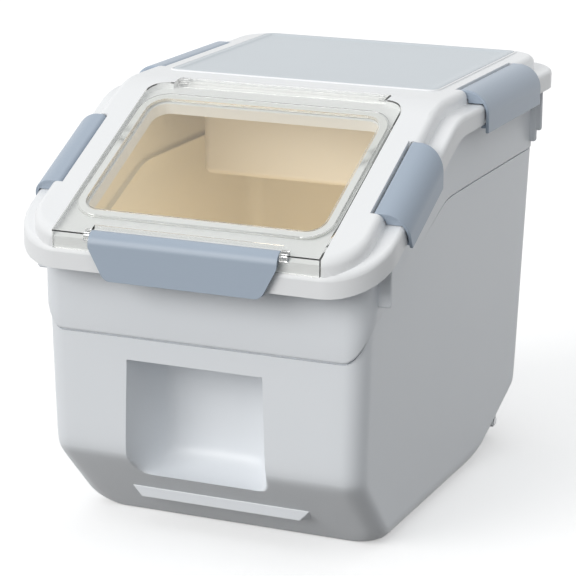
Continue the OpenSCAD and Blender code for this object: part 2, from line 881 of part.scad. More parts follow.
module front_latch_pin() color(steel) front_pin_place(front_pin_len) cylinder(front_pin_len, d = latch_pin_d);

/* Side latches, drawn on the right */
module side_latch_shell() {
    top = -side_pin_drop + side_barrel_r;
    out = side_bend_x + side_bend_r;
    translate([side_pin_x, -side_pin_drop]) circle(side_barrel_r);
    translate([side_pin_x, top - latch_t]) square([side_bend_x - side_pin_x + seam, latch_t]);
    intersection() {
        difference() {
            translate([side_bend_x, top - side_bend_r]) circle(side_bend_r);
            translate([side_bend_x, top - side_bend_r]) circle(side_bend_r - latch_t);
        }
        translate([side_bend_x, top - side_bend_r]) square(side_bend_r + 1);
    }
    translate([out - latch_t, -side_latch_h]) square([latch_t, side_latch_h + top - side_bend_r + seam]);
}

module side_latch(site) {
    difference() {
        union() {
            run_latch(site, 0) side_latch_shell();
            run_latch(site, 2) span(rim_x + clear, side_bend_x + side_bend_r - 0.5, lip_drop, lip_drop + lip_t);
        }
        side_pin(site, latch_pin_d + 2 * running);
    }
}

module side_pin(site, d) {
    len = (site == "slope" ? slope_latch_len : deck_latch_len) + 2 * pin_hold;
    if (site == "slope") {
        run_slope(slope_latch_start - pin_hold, len) translate([side_pin_x, -side_pin_drop]) circle(d = d);
    } else {
        run_deck(deck_latch_start - pin_hold, len) translate([side_pin_x, -side_pin_drop]) circle(d = d);
    }
}

module front_side_latch_right() color(blue_grey) side_latch("slope");

module front_side_latch_left() color(blue_grey) mirror([1, 0, 0]) side_latch("slope");

module rear_side_latch_right() color(blue_grey) side_latch("deck");

module rear_side_latch_left() color(blue_grey) mirror([1, 0, 0]) side_latch("deck");

module front_side_latch_pins() color(steel) both_sides() side_pin("slope", latch_pin_d);

module rear_side_latch_pins() color(steel) both_sides() side_pin("deck", latch_pin_d);

/* Rollers */
module wheel(m) color(dark) {
    r = wheel_d / 2;
    h = wheel_w / 2;
    translate([m * wheel_side, wheel_back, wheel_h]) rotate([0, 90, 0]) rotate_extrude() polygon([
        [axle_d / 2 + running, -h], [r - 3.5, -h], [r - 3, -h + 1], [r - 1.4, -h + 1], [r, -h + 2.4],
        [r, h - 2.4], [r - 1.4, h - 1], [r - 3, h - 1], [r - 3.5, h], [axle_d / 2 + running, h]]);
}

module wheel_left() wheel(-1);

module wheel_right() wheel(1);

module wheel_axle(m) color(steel) {
    translate([m * wheel_side, wheel_back, wheel_h]) rotate([0, m * 90, 0]) {
        translate([0, 0, -axle_half]) cylinder(2 * axle_half, d = axle_d);
        translate([0, 0, axle_half]) cylinder(1, d = axle_d + 2.4);
    }
}

module wheel_axle_left() wheel_axle(-1);

module wheel_axle_right() wheel_axle(1);

// Puts the origin under the middle of the footprint
module placed() {
    translate([0, -mid_y, 0]) children();
}

placed() tub();
placed() lid_frame();
placed() lid_seal();
placed() deck_cover();
placed() storage_box();
placed() flip_lid();
placed() window_seal();
placed() flip_hinge_pin_left();
placed() flip_hinge_pin_right();
placed() front_latch();
placed() front_latch_pin();
placed() front_side_latch_left();
placed() front_side_latch_right();
placed() rear_side_latch_left();
placed() rear_side_latch_right();
placed() front_side_latch_pins();
placed() rear_side_latch_pins();
placed() wheel_left();
placed() wheel_right();
placed() wheel_axle_left();
placed() wheel_axle_right();
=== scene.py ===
"""Rice bin with a clear flip lid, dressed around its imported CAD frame.

Blender works in metres. The sizes below are in millimetres in the drawing's own frame, where Y = 0 is the
front face of the tub's collar, and to_metres() carries every point into the frame's place and unit.
"""
from __future__ import annotations

import json
import logging
from collections.abc import Callable
from dataclasses import dataclass, field
from enum import Enum
from math import asin, atan2, cos, pi, radians, sin, sqrt, tan

import bmesh
import bpy
import numpy as np
from mathutils import Matrix, Vector

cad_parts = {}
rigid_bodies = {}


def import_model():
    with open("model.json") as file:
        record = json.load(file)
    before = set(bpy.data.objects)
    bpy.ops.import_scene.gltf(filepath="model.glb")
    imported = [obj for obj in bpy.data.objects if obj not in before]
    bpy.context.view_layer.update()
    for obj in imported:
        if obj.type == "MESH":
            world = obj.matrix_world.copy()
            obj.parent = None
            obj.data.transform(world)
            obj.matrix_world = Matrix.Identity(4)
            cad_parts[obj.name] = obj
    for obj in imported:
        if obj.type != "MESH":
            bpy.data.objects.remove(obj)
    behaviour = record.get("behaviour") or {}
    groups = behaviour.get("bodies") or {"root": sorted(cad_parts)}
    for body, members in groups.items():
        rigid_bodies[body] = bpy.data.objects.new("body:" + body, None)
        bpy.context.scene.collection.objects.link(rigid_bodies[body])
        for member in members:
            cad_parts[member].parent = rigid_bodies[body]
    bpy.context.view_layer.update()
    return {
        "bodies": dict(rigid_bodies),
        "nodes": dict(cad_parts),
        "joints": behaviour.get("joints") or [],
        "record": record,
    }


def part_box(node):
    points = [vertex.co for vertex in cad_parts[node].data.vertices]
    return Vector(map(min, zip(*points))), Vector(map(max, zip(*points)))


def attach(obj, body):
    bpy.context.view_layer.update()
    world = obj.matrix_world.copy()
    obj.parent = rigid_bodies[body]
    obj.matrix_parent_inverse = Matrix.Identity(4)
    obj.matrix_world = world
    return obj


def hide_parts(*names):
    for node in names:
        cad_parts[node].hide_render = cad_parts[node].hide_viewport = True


LOG = logging.getLogger("rice_bin")
MM = 0.001
IMAGE_WIDTH = 576
SENSOR_WIDTH = 36.0

# A form is its points and its faces. An outline gives half width, front, back and corner radius at heights.
Form = tuple[np.ndarray, list[tuple[int, ...]]]
Outline = Callable[[np.ndarray], tuple]
Heights = Callable[[np.ndarray], np.ndarray]


class Slot(Enum):
    """The record's material slots."""

    TUB = "tub_white"
    LID = "lid_white"
    DECK = "deck_grey"
    LATCH = "latch_blue"
    CLEAR = "clear_lid"
    BOX = "box_white"
    SEAL = "seal_silicone"
    STEEL = "pin_steel"
    ROLLER = "roller_dark"


class Side(Enum):
    """Left or right of the bin, as the sign of X."""

    LEFT = -1
    RIGHT = 1


class Site(Enum):
    """Where a side latch sits: on the lid's slope or on its flat deck."""

    SLOPE = "front"
    DECK = "rear"


# Shared form of the lid


@dataclass(frozen=True)
class LidProfile:
    """Side profile of the lid: a slope, a bend and the flat deck."""

    slope: float = radians(26.5)
    front_y: float = -22.6
    front_z: float = 226.5
    deck_z: float = 304.0
    bend_r: float = 70.0

    @property
    def bend_y(self) -> float:
        """Distance back to where the bend meets the deck."""
        run = (self.deck_z - self.front_z) / tan(self.slope)
        return self.front_y + run + self.bend_r * tan(self.slope / 2)

    def height(self, y: np.ndarray | float, drop: np.ndarray | float) -> np.ndarray:
        """Height of the surface that lies a drop below the lid's top, measured square to it.

        Args:
            y: Distances back from the collar's front face.
            drop: How far the surface lies below the top.

        Returns:
            The straight slope up to the bend, an arc about the bend's centre, then the deck's height.
        """
        line = self.front_z + (y - self.front_y) * tan(self.slope) - drop / cos(self.slope)
        radius = self.bend_r - drop
        back = np.clip(self.bend_y - y, 0.0, radius * sin(self.slope))
        arc = self.deck_z - self.bend_r + np.sqrt(np.maximum(radius**2 - back**2, 0.0))
        return np.where(self.bend_y - y > radius * sin(self.slope), line, arc)

    def on_slope(self, x: np.ndarray, along: np.ndarray | float, rise: np.ndarray) -> np.ndarray:
        """Points given by a distance up the slope and a height square to it."""
        y = self.front_y + along * cos(self.slope) - rise * sin(self.slope)
        z = self.front_z + along * sin(self.slope) + rise * cos(self.slope)
        return np.stack(np.broadcast_arrays(x, y, z), -1)


PROFILE = LidProfile()


@dataclass(frozen=True)
class Plan:
    """Sizes that several pieces share: the outlines seen from above, and where the rollers turn."""

    collar_half: float = 124.0
    collar_depth: float = 356.0
    collar_r: float = 18.0
    rim_half: float = 134.5
    rim_front: float = -19.7
    rim_back: float = 374.7
    rim_r: float = 36.0
    rim_drop: float = 15.8
    skirt_back: float = 378.0
    skirt_drop: float = 24.0
    skirt_end: float = 23.0
    plateau_half: float = 124.5
    roller_x: float = 98.0
    roller_y: float = 316.0
    roller_z: float = 14.0


PLAN = Plan()


def to_metres(points: np.ndarray) -> np.ndarray:
    """Carries drawing points in millimetres into the frame: the lid's back edge fixes the shift in Y.

    Args:
        points: An array whose last axis is (x, y, z).

    Returns:
        The same points in metres, in the frame.
    """
    shift = PLAN.skirt_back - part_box("lid_frame")[1].y / MM
    return (points - np.array([0.0, shift, 0.0])) * MM


def soft_max(a: np.ndarray, b: np.ndarray | float, blend: float) -> np.ndarray:
    """The greater of two surfaces, with their meeting line rounded over about the blend."""
    return 0.5 * (a + b + np.sqrt((a - b) ** 2 + blend**2))


def soft_min(a: np.ndarray, b: np.ndarray | float, blend: float) -> np.ndarray:
    """The lesser of two surfaces, rounded in the same way."""
    return -soft_max(-a, -b, blend)


def round_wall(reach: np.ndarray) -> np.ndarray:
    """Quarter circle that rises from 0 at reach 0, upright at first, to 1 at reach 1 and past it."""
    return np.sqrt(np.clip(1.0 - (1.0 - np.clip(reach, 0.0, 1.0)) ** 2, 0.0, 1.0))


def soft_ramp(reach: np.ndarray, blend: float) -> np.ndarray:
    """Straight rise from 0 to 1 over a reach of 1, with the corner at the top rounded over the blend."""
    ramp = soft_min(np.maximum(reach, 0.0), 1.0, blend)
    start = 0.5 - 0.5 * sqrt(1.0 + blend**2)
    return np.clip((ramp - start) / (1.0 - start), 0.0, 1.0)


# Rounded outlines and the grids lofted from them


@dataclass(frozen=True)
class Loop:
    """Stations round a rounded rectangle, as shares of its straights and unit normals of its corners."""

    share_x: np.ndarray
    share_y: np.ndarray
    normal_x: np.ndarray
    normal_y: np.ndarray
    front_count: int

    @classmethod
    def make(cls, front: np.ndarray, sides: int, back: int, corner: int) -> Loop:
        """Lays out the stations: front straight, then round to the right, back and left.

        Args:
            front: Shares from -1 to 1 along the front straight.
            sides: Steps along each side.
            back: Steps along the back.
            corner: Steps round each corner.

        Returns:
            The loop.
        """
        turn = np.linspace(0.0, pi / 2, corner + 1)[1:]
        along = np.linspace(0.0, 1.0, sides + 1)[1:]
        behind = np.linspace(1.0, -1.0, back + 1)[1:]
        ones, zeros = np.ones_like, np.zeros_like
        rows = [
            (front, zeros(front), zeros(front), -ones(front)),
            (ones(turn), zeros(turn), np.sin(turn), -np.cos(turn)),
            (ones(along), along, ones(along), zeros(along)),
            (ones(turn), ones(turn), np.cos(turn), np.sin(turn)),
            (behind, ones(behind), zeros(behind), ones(behind)),
            (-ones(turn), ones(turn), -np.sin(turn), np.cos(turn)),
            (-ones(along), 1.0 - along, -ones(along), zeros(along)),
            (-ones(turn[:-1]), zeros(turn[:-1]), -np.cos(turn[:-1]), -np.sin(turn[:-1])),
        ]
        columns = [np.concatenate(column) for column in zip(*rows)]
        return cls(*columns, front_count=len(front))

    @classmethod
    def plain(cls, straight: int, corner: int) -> Loop:
        """Evenly spaced stations, with the same number of steps on each straight."""
        return cls.make(np.linspace(-1.0, 1.0, straight + 1), straight, straight, corner)

    def place(self, half: np.ndarray | float, front: np.ndarray | float, back: np.ndarray | float,
              radius: np.ndarray | float) -> tuple[np.ndarray, np.ndarray]:
        """Places the stations on a rounded rectangle.

        Args:
            half: Half its width.
            front: Its front edge.
            back: Its back edge.
            radius: Its corner radius.

        Returns:
            X and Y of every station. Each size may differ from station to station.
        """
        x = self.share_x * (half - radius) + radius * self.normal_x
        y = front + radius + self.share_y * (back - front - 2 * radius) + radius * self.normal_y
        return x, y

    def ring(self, half: float, front: float, back: float, radius: float, drop: float) -> np.ndarray:
        """One closed row of points that follows the lid's profile at a drop below its top."""
        x, y = self.place(half, front, back, radius)
        return np.stack([x, y, PROFILE.height(y, drop)], 1)

    def flat(self, half: float, front: float, back: float, radius: float, z: float) -> np.ndarray:
        """One closed row of points at a level height."""
        x, y = self.place(half, front, back, radius)
        return np.stack([x, y, np.full_like(x, z)], 1)

    def up_slope(self, half: float, start: float, end: float, radius: float, rise: float) -> np.ndarray:
        """One closed row of points laid out on the lid's slope."""
        x, along = self.place(half, start, end, radius)
        return PROFILE.on_slope(x, along, np.full_like(x, rise))


def loft(rows: list[np.ndarray], close: bool = False) -> Form:
    """Joins closed rows of points into a grid of quads.

    Args:
        rows: Rows of equal length, each a closed ring.
        close: True joins the last row to the first; False closes each end with a fan to its middle.

    Returns:
        The points and the faces.
    """
    count, width = len(rows), len(rows[0])
    points = np.concatenate(rows)
    row, column = np.meshgrid(np.arange(count if close else count - 1), np.arange(width), indexing="ij")
    above, beside = (row + 1) % count, (column + 1) % width
    quads = np.stack([row * width + column, row * width + beside,
                      above * width + beside, above * width + column], -1).reshape(-1, 4)
    faces = [tuple(quad) for quad in quads.tolist()]
    if not close:
        turn, after = np.arange(width), (np.arange(width) + 1) % width
        top = (count - 1) * width
        first, last = np.full(width, len(points)), np.full(width, len(points) + 1)
        points = np.concatenate([points, rows[0].mean(0)[None], rows[-1].mean(0)[None]])
        low = np.stack([after, turn, first], 1)
        high = np.stack([turn + top, after + top, last], 1)
        faces += [tuple(face) for face in np.concatenate([low, high]).tolist()]
    return points, faces


def sweep(rows: list[np.ndarray]) -> Form:
    """A closed section carried through two or more places, with a flat face at each end.

    Args:
        rows: The section's points at each place.

    Returns:
        The points and the faces.
    """
    count, width = len(rows), len(rows[0])
    points, faces = loft(rows, close=True)
    faces = faces[:(count - 1) * width]
    faces.append(tuple(range(width - 1, -1, -1)))
    faces.append(tuple(range((count - 1) * width, count * width)))
    return points, faces


def plate(section: np.ndarray, axis: int, middle: float, half: float) -> Form:
    """A flat plate: a section in the plane square to an axis, carried half its thickness to each side.

    Args:
        section: Points in the plane, with the axis left out.
        axis: 0 for a plate square to X, 1 for one square to Y.
        middle: Where the plate's middle lies on the axis.
        half: Half its thickness.

    Returns:
        The points and the faces.
    """
    return sweep([np.insert(section, axis, middle + step, axis=1) for step in (-half, half)])


def arc_points(centre: tuple[float, float], radius: float, start: float, end: float,
               steps: int) -> np.ndarray:
    """Points along an arc: centre + radius * (cos, sin) of angles from start to end, in radians."""
    angle = np.linspace(start, end, steps + 1)
    return np.stack([centre[0] + radius * np.cos(angle), centre[1] + radius * np.sin(angle)], 1)


def quarter(inset: float, z: float, radius: float, start: float, end: float,
            steps: int) -> list[tuple[float, float]]:
    """Rounded foot of a wall as (inset, height): an arc that leaves the floor at angle 0 and ends upright.

    Args:
        inset: Inset of the wall.
        z: Height of the floor.
        radius: Radius of the rounding.
        start: First angle, in radians.
        end: Last angle.
        steps: Number of points.

    Returns:
        inset + radius * (1 - sin) and z + radius * (1 - cos) of each angle.
    """
    angles = np.linspace(start, end, steps)
    return [(inset + radius * (1 - sin(a)), z + radius * (1 - cos(a))) for a in angles]


# Meshes


def link(name: str, data: bpy.types.ID | None) -> bpy.types.Object:
    """Adds an object to the scene."""
    made = bpy.data.objects.new(name, data)
    bpy.context.scene.collection.objects.link(made)
    return made


def make_mesh(name: str, forms: list[Form], zones: np.ndarray | None = None) -> bpy.types.Object:
    """Joins closed forms in one object, in metres, with its faces turned outwards.

    Args:
        name: The object's name.
        forms: Points in millimetres and faces of each form.
        zones: The number of the material that each face takes; without it all take the first.

    Returns:
        The object, linked to the scene.
    """
    starts = np.cumsum([0] + [len(points) for points, _ in forms]).tolist()
    faces = [tuple(index + start for index in face)
             for start, (_, part) in zip(starts, forms) for face in part]
    data = bpy.data.meshes.new(name)
    data.from_pydata(to_metres(np.concatenate([points for points, _ in forms])).tolist(), [], faces)
    if zones is not None:
        data.polygons.foreach_set("material_index", zones.astype(np.int32))
    work = bmesh.new()
    work.from_mesh(data)
    bmesh.ops.recalc_face_normals(work, faces=work.faces)
    work.to_mesh(data)
    work.free()
    return link(name, data)


def from_frame(name: str, node: str) -> bpy.types.Object:
    """Copies a CAD node as merged flat faces, ready for rounded edges.

    Args:
        name: The copy's name.
        node: The CAD node.

    Returns:
        The copy, linked to the scene.
    """
    data = bpy.data.objects[node].data.copy()
    data.name = name
    work = bmesh.new()
    work.from_mesh(data)
    bmesh.ops.remove_doubles(work, verts=work.verts, dist=0.01 * MM)
    bmesh.ops.dissolve_limit(work, angle_limit=radians(0.6), verts=work.verts, edges=work.edges)
    work.to_mesh(data)
    work.free()
    return link(name, data)


def shade(piece: bpy.types.Object, crease: float = 35.0) -> None:
    """Shades a piece smooth, apart from edges that turn by more than the crease, in degrees."""
    piece.data.polygons.foreach_set("use_smooth", np.ones(len(piece.data.polygons), dtype=bool))
    piece.data.set_sharp_from_angle(angle=radians(crease))


def round_edges(piece: bpy.types.Object, width: float, segments: int, limit: float) -> None:
    """Rounds a piece's sharp edges and keeps its flats flat.

    Args:
        piece: The piece.
        width: Width of the rounding, in millimetres.
        segments: Steps across it.
        limit: Edges that turn by more than this are rounded, in degrees.
    """
    bevel = piece.modifiers.new("rounded_edges", "BEVEL")
    bevel.width = width * MM
    bevel.segments = segments
    bevel.limit_method = "ANGLE"
    bevel.angle_limit = radians(limit)
    bevel.use_clamp_overlap = True
    bevel.miter_outer = "MITER_ARC"
    flats = piece.modifiers.new("flat_faces", "WEIGHTED_NORMAL")
    flats.keep_sharp = True


# Materials


@dataclass(frozen=True)
class NodeMaker:
    """Adds nodes to one tree and wires them. An input takes a socket, which is wired, or a plain value."""

    tree: bpy.types.NodeTree

    def feed(self, target: bpy.types.NodeSocket, value: object) -> None:
        """Wires a socket to an input, or sets the input to a plain value.

        Args:
            target: The input.
            value: A socket or a plain value.
        """
        if isinstance(value, bpy.types.NodeSocket):
            self.tree.links.new(value, target)
        else:
            target.default_value = value

    def fill(self, node: bpy.types.Node, **inputs: object) -> bpy.types.Node:
        """Feeds a node's inputs by name; underscores stand for spaces."""
        for key, value in inputs.items():
            self.feed(node.inputs[key.replace("_", " ")], value)
        return node

    def node(self, kind: str, **inputs: object) -> bpy.types.Node:
        """Adds a node and feeds its inputs."""
        return self.fill(self.tree.nodes.new(kind), **inputs)

    def group(self, tree: bpy.types.NodeTree, **inputs: object) -> bpy.types.Node:
        """Places a node group and feeds its inputs."""
        made = self.tree.nodes.new("ShaderNodeGroup")
        made.node_tree = tree
        return self.fill(made, **inputs)

    def row(self, kind: str, *values: object) -> bpy.types.Node:
        """Adds a node and feeds its inputs in their order.

        Args:
            kind: The node's type.
            values: A socket or a plain value for each input, from the first.

        Returns:
            The node.
        """
        made = self.tree.nodes.new(kind)
        for target, value in zip(made.inputs, values):
            self.feed(target, value)
        return made

    def math(self, operation: str, *values: object) -> bpy.types.NodeSocket:
        """Adds a math node and gives its result."""
        made = self.row("ShaderNodeMath", *values)
        made.operation = operation
        return made.outputs[0]

    def finish(self, output: str, shader: bpy.types.Node) -> None:
        """Wires a shader to the tree's output node."""
        self.feed(self.tree.nodes[output].inputs["Surface"], shader.outputs[0])


def new_material(name: str) -> tuple[bpy.types.Material, NodeMaker, bpy.types.Node]:
    """Starts a material, and gives it with its maker and its Principled shader."""
    material = bpy.data.materials.new(name)
    material.use_nodes = True
    return material, NodeMaker(material.node_tree), material.node_tree.nodes["Principled BSDF"]


def new_group(name: str, inputs: dict[str, float], outputs: tuple[str, ...]) -> bpy.types.NodeTree:
    """Starts a shader node group with float inputs and outputs.

    Args:
        name: The group's name.
        inputs: Each input and its default.
        outputs: The names of the outputs.

    Returns:
        The group's tree, with its input and output nodes added.
    """
    tree = bpy.data.node_groups.new(name, "ShaderNodeTree")
    for key, value in inputs.items():
        socket = tree.interface.new_socket(key, in_out="INPUT", socket_type="NodeSocketFloat")
        socket.default_value = value
    for key in outputs:
        tree.interface.new_socket(key, in_out="OUTPUT", socket_type="NodeSocketFloat")
    tree.nodes.new("NodeGroupInput")
    tree.nodes.new("NodeGroupOutput")
    return tree


def grain_group() -> bpy.types.NodeTree:
    """Moulded grain: fine noise over broad waves, as a height, and a roughness that follows it.

    Returns:
        The group's tree.
    """
    tree = new_group("moulded_grain", {"Scale": 900.0, "Wave": 9.0, "Wave Share": 0.3, "Roughness": 0.4,
                                       "Spread": 0.08}, ("Height", "Roughness"))
    make = NodeMaker(tree)
    given = tree.nodes["Group Input"].outputs
    place = make.node("ShaderNodeTexCoord").outputs["Object"]
    fine = make.node("ShaderNodeTexNoise", Vector=place, Scale=given["Scale"], Detail=2.0, Roughness=0.6)
    broad = make.node("ShaderNodeTexNoise", Vector=place, Scale=given["Wave"], Detail=1.0, Roughness=0.4)
    blend = make.node("ShaderNodeMix", Factor=given["Wave Share"], A=fine.outputs["Fac"],
                      B=broad.outputs["Fac"])
    height = blend.outputs["Result"]
    centred = make.math("SUBTRACT", height, 0.5)
    roughness = make.math("MULTIPLY_ADD", centred, given["Spread"], given["Roughness"])
    make.fill(tree.nodes["Group Output"], Height=height, Roughness=roughness)
    return tree


def mottle_group() -> bpy.types.NodeTree:
    """Soft mottle: a mask of broad noise, from 0 to 1, for a slight drift of colour in moulded plastic.

    Returns:
        The group's tree.
    """
    tree = new_group("soft_mottle", {"Scale": 14.0, "Contrast": 1.0}, ("Mask",))
    make = NodeMaker(tree)
    given = tree.nodes["Group Input"].outputs
    place = make.node("ShaderNodeTexCoord").outputs["Object"]
    noise = make.node("ShaderNodeTexNoise", Vector=place, Scale=given["Scale"], Detail=3.0, Roughness=0.55)
    mask = make.math("MULTIPLY", noise.outputs["Fac"], given["Contrast"])
    mask.node.use_clamp = True
    make.fill(tree.nodes["Group Output"], Mask=mask)
    return tree


@dataclass(frozen=True)
class Finish:
    """An opaque moulded or drawn surface, with its colour drifting between two near tones."""

    name: str
    colour: tuple[float, float, float]
    drift: tuple[float, float, float]
    roughness: float
    grain: float = 900.0
    grain_depth: float = 0.02
    spread: float = 0.08
    metallic: float = 0.0
    ior: float = 1.48
    bump: float = 0.35

    def build(self, grain: bpy.types.NodeTree, mottle: bpy.types.NodeTree) -> bpy.types.Material:
        """Builds the material.

        Args:
            grain: The moulded grain group.
            mottle: The soft mottle group.

        Returns:
            The material.
        """
        material, make, shader = new_material(self.name)
        surface = make.group(grain, Scale=self.grain, Roughness=self.roughness, Spread=self.spread)
        bump = make.node("ShaderNodeBump", Strength=self.bump, Distance=self.grain_depth * MM,
                         Height=surface.outputs["Height"])
        blend = make.node("ShaderNodeMix")
        blend.data_type = "RGBA"
        first, second = [socket for socket in blend.inputs if socket.type == "RGBA"]
        make.feed(first, (*self.colour, 1.0))
        make.feed(second, (*self.drift, 1.0))
        make.fill(blend, Factor=make.group(mottle).outputs["Mask"])
        mixed = [socket for socket in blend.outputs if socket.type == "RGBA"][0]
        make.fill(shader, Base_Color=mixed, Metallic=self.metallic, IOR=self.ior,
                  Roughness=surface.outputs["Roughness"], Normal=bump.outputs["Normal"])
        return material


@dataclass(frozen=True)
class ClearFinish:
    """Clear polished plastic that lets the lamps through to what lies under it."""

    name: str
    colour: tuple[float, float, float]
    roughness: float
    ior: float
    grain: float = 60.0

    def build(self, grain: bpy.types.NodeTree) -> bpy.types.Material:
        """Builds the material: a clear shader, and plain transparency for shadow rays and scattered light.

        Args:
            grain: The moulded grain group.

        Returns:
            The material.
        """
        material, make, shader = new_material(self.name)
        surface = make.group(grain, Scale=self.grain, Roughness=self.roughness, Spread=self.roughness)
        make.fill(shader, Base_Color=(*self.colour, 1.0), Transmission_Weight=1.0, IOR=self.ior,
                  Roughness=surface.outputs["Roughness"])
        through = make.node("ShaderNodeBsdfTransparent", Color=(*self.colour, 1.0))
        path = make.node("ShaderNodeLightPath").outputs
        either = make.math("MAXIMUM", path["Is Shadow Ray"], path["Is Diffuse Ray"])
        make.finish("Material Output", make.row("ShaderNodeMixShader", either, shader.outputs[0],
                                                through.outputs[0]))
        return material


class Finishes:
    """Every material of the bin, one for each slot and one for the tub's inside, whose warm cream is painted
    warm light.
    """

    def __init__(self) -> None:
        """Builds the shared groups, then each material."""
        grain, mottle = grain_group(), mottle_group()
        plain = (
            (Slot.TUB, Finish("satin_white_tub", (0.81, 0.84, 0.875), (0.835, 0.86, 0.89), 0.36)),
            (Slot.LID, Finish("satin_white_lid", (0.86, 0.872, 0.885), (0.89, 0.90, 0.91), 0.33)),
            (Slot.DECK, Finish("pale_grey_deck", (0.62, 0.668, 0.706), (0.645, 0.693, 0.731), 0.42, 1500.0,
                               0.03)),
            (Slot.LATCH, Finish("blue_grey_latch", (0.38, 0.45, 0.54), (0.40, 0.47, 0.56), 0.34)),
            # Painted light: the storage box's cream colour stands in for warm light thrown back onto its
            # white plastic.
            (Slot.BOX, Finish("milky_box", (0.80, 0.725, 0.60), (0.82, 0.75, 0.635), 0.45)),
            (Slot.SEAL, Finish("milky_seal", (0.80, 0.81, 0.80), (0.84, 0.85, 0.84), 0.5)),
            (Slot.STEEL, Finish("drawn_steel", (0.52, 0.53, 0.55), (0.60, 0.61, 0.62), 0.28, 2400.0, 0.01,
                                0.1, 1.0)),
            (Slot.ROLLER, Finish("dark_roller", (0.035, 0.037, 0.042), (0.05, 0.052, 0.058), 0.5)),
        )
        self.by_slot: dict[Slot, bpy.types.Material] = {slot: one.build(grain, mottle) for slot, one in plain}
        self.by_slot[Slot.CLEAR] = ClearFinish("clear_flip_lid", (0.94, 0.942, 0.93), 0.03, 1.49).build(grain)
        # Painted light: the inside's bright warm cream stands in for warm light that comes through the milky
        # wall and is thrown back inside.
        painted_warm = Finish("warm_tub_inside", (0.95, 0.885, 0.735), (0.96, 0.90, 0.765), 0.5)
        self.painted_warm_light_inside = painted_warm.build(grain, mottle)

    def dress(self, piece: bpy.types.Object, slot: Slot, *others: bpy.types.Material) -> None:
        """Gives a piece its materials, and keeps which face takes which.

        Args:
            piece: The piece.
            slot: The slot whose material comes first.
            others: Materials that follow it.
        """
        zones = np.zeros(len(piece.data.polygons), dtype=np.int32)
        piece.data.polygons.foreach_get("material_index", zones)
        piece.data.materials.clear()
        for material in (self.by_slot[slot], *others):
            piece.data.materials.append(material)
        piece.data.polygons.foreach_set("material_index", np.minimum(zones, len(others)).astype(np.int32))


@dataclass
class Workshop:
    """What every sub-assembly needs to finish a piece and place it."""

    frame: dict
    finishes: Finishes

    def place(self, piece: bpy.types.Object, body: str, slot: Slot, *nodes: str) -> None:
        """Lets a piece ride on its body in place of CAD nodes.

        Args:
            piece: The finished piece.
            body: The body that carries it.
            slot: The record's slot for it; not used.
            nodes: The CAD nodes that it stands for.
        """
        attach(piece, body)
        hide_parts(*nodes)
        LOG.info("%s rides on %s: %d faces", piece.name, body, len(piece.data.polygons))

    def mould(self, name: str, body: str, slot: Slot, node: str, forms: list[Form], edge: float = 0.0,
              limit: float = 45.0) -> None:
        """Makes a piece from closed forms, rounds its edges, dresses it and places it.

        Args:
            name: The piece's name.
            body: The body that carries it.
            slot: The record's slot that it takes its finish from.
            node: The CAD node that it stands for.
            forms: The closed forms that it is made of.
            edge: Width of its rounded edges; 0 leaves them as they are.
            limit: Edges that turn by more than this are rounded, in degrees.
        """
        piece = make_mesh(name, forms)
        shade(piece)
        if edge:
            round_edges(piece, edge, 3, limit)
        self.finishes.dress(piece, slot)
        self.place(piece, body, slot, node)

    def soften(self, name: str, body: str, slot: Slot, node: str, edge: float, segments: int) -> None:
        """Makes a piece from a CAD node's own form with every edge rounded, dresses it and places it.

        Args:
            name: The piece's name.
            body: The body that carries it.
            slot: The record's slot that it takes its finish from.
            node: The CAD node that it copies and stands for.
            edge: Width of its rounded edges.
            segments: Steps across them.
        """
        piece = from_frame(name, node)
        shade(piece)
        round_edges(piece, edge, segments, 40.0)
        self.finishes.dress(piece, slot)
        self.place(piece, body, slot, node)

    def keep(self, node: str, slot: Slot) -> None:
        """Keeps a CAD node and gives it its finish."""
        self.finishes.dress(self.frame["nodes"][node], slot)
        LOG.info("%s is kept", node)


# Tub


@dataclass(frozen=True)
class Gusset:
    """An upright web under the rim: its distance back, reach outwards, height and half thickness."""

    y: float
    reach: float
    tall: float
    half: float


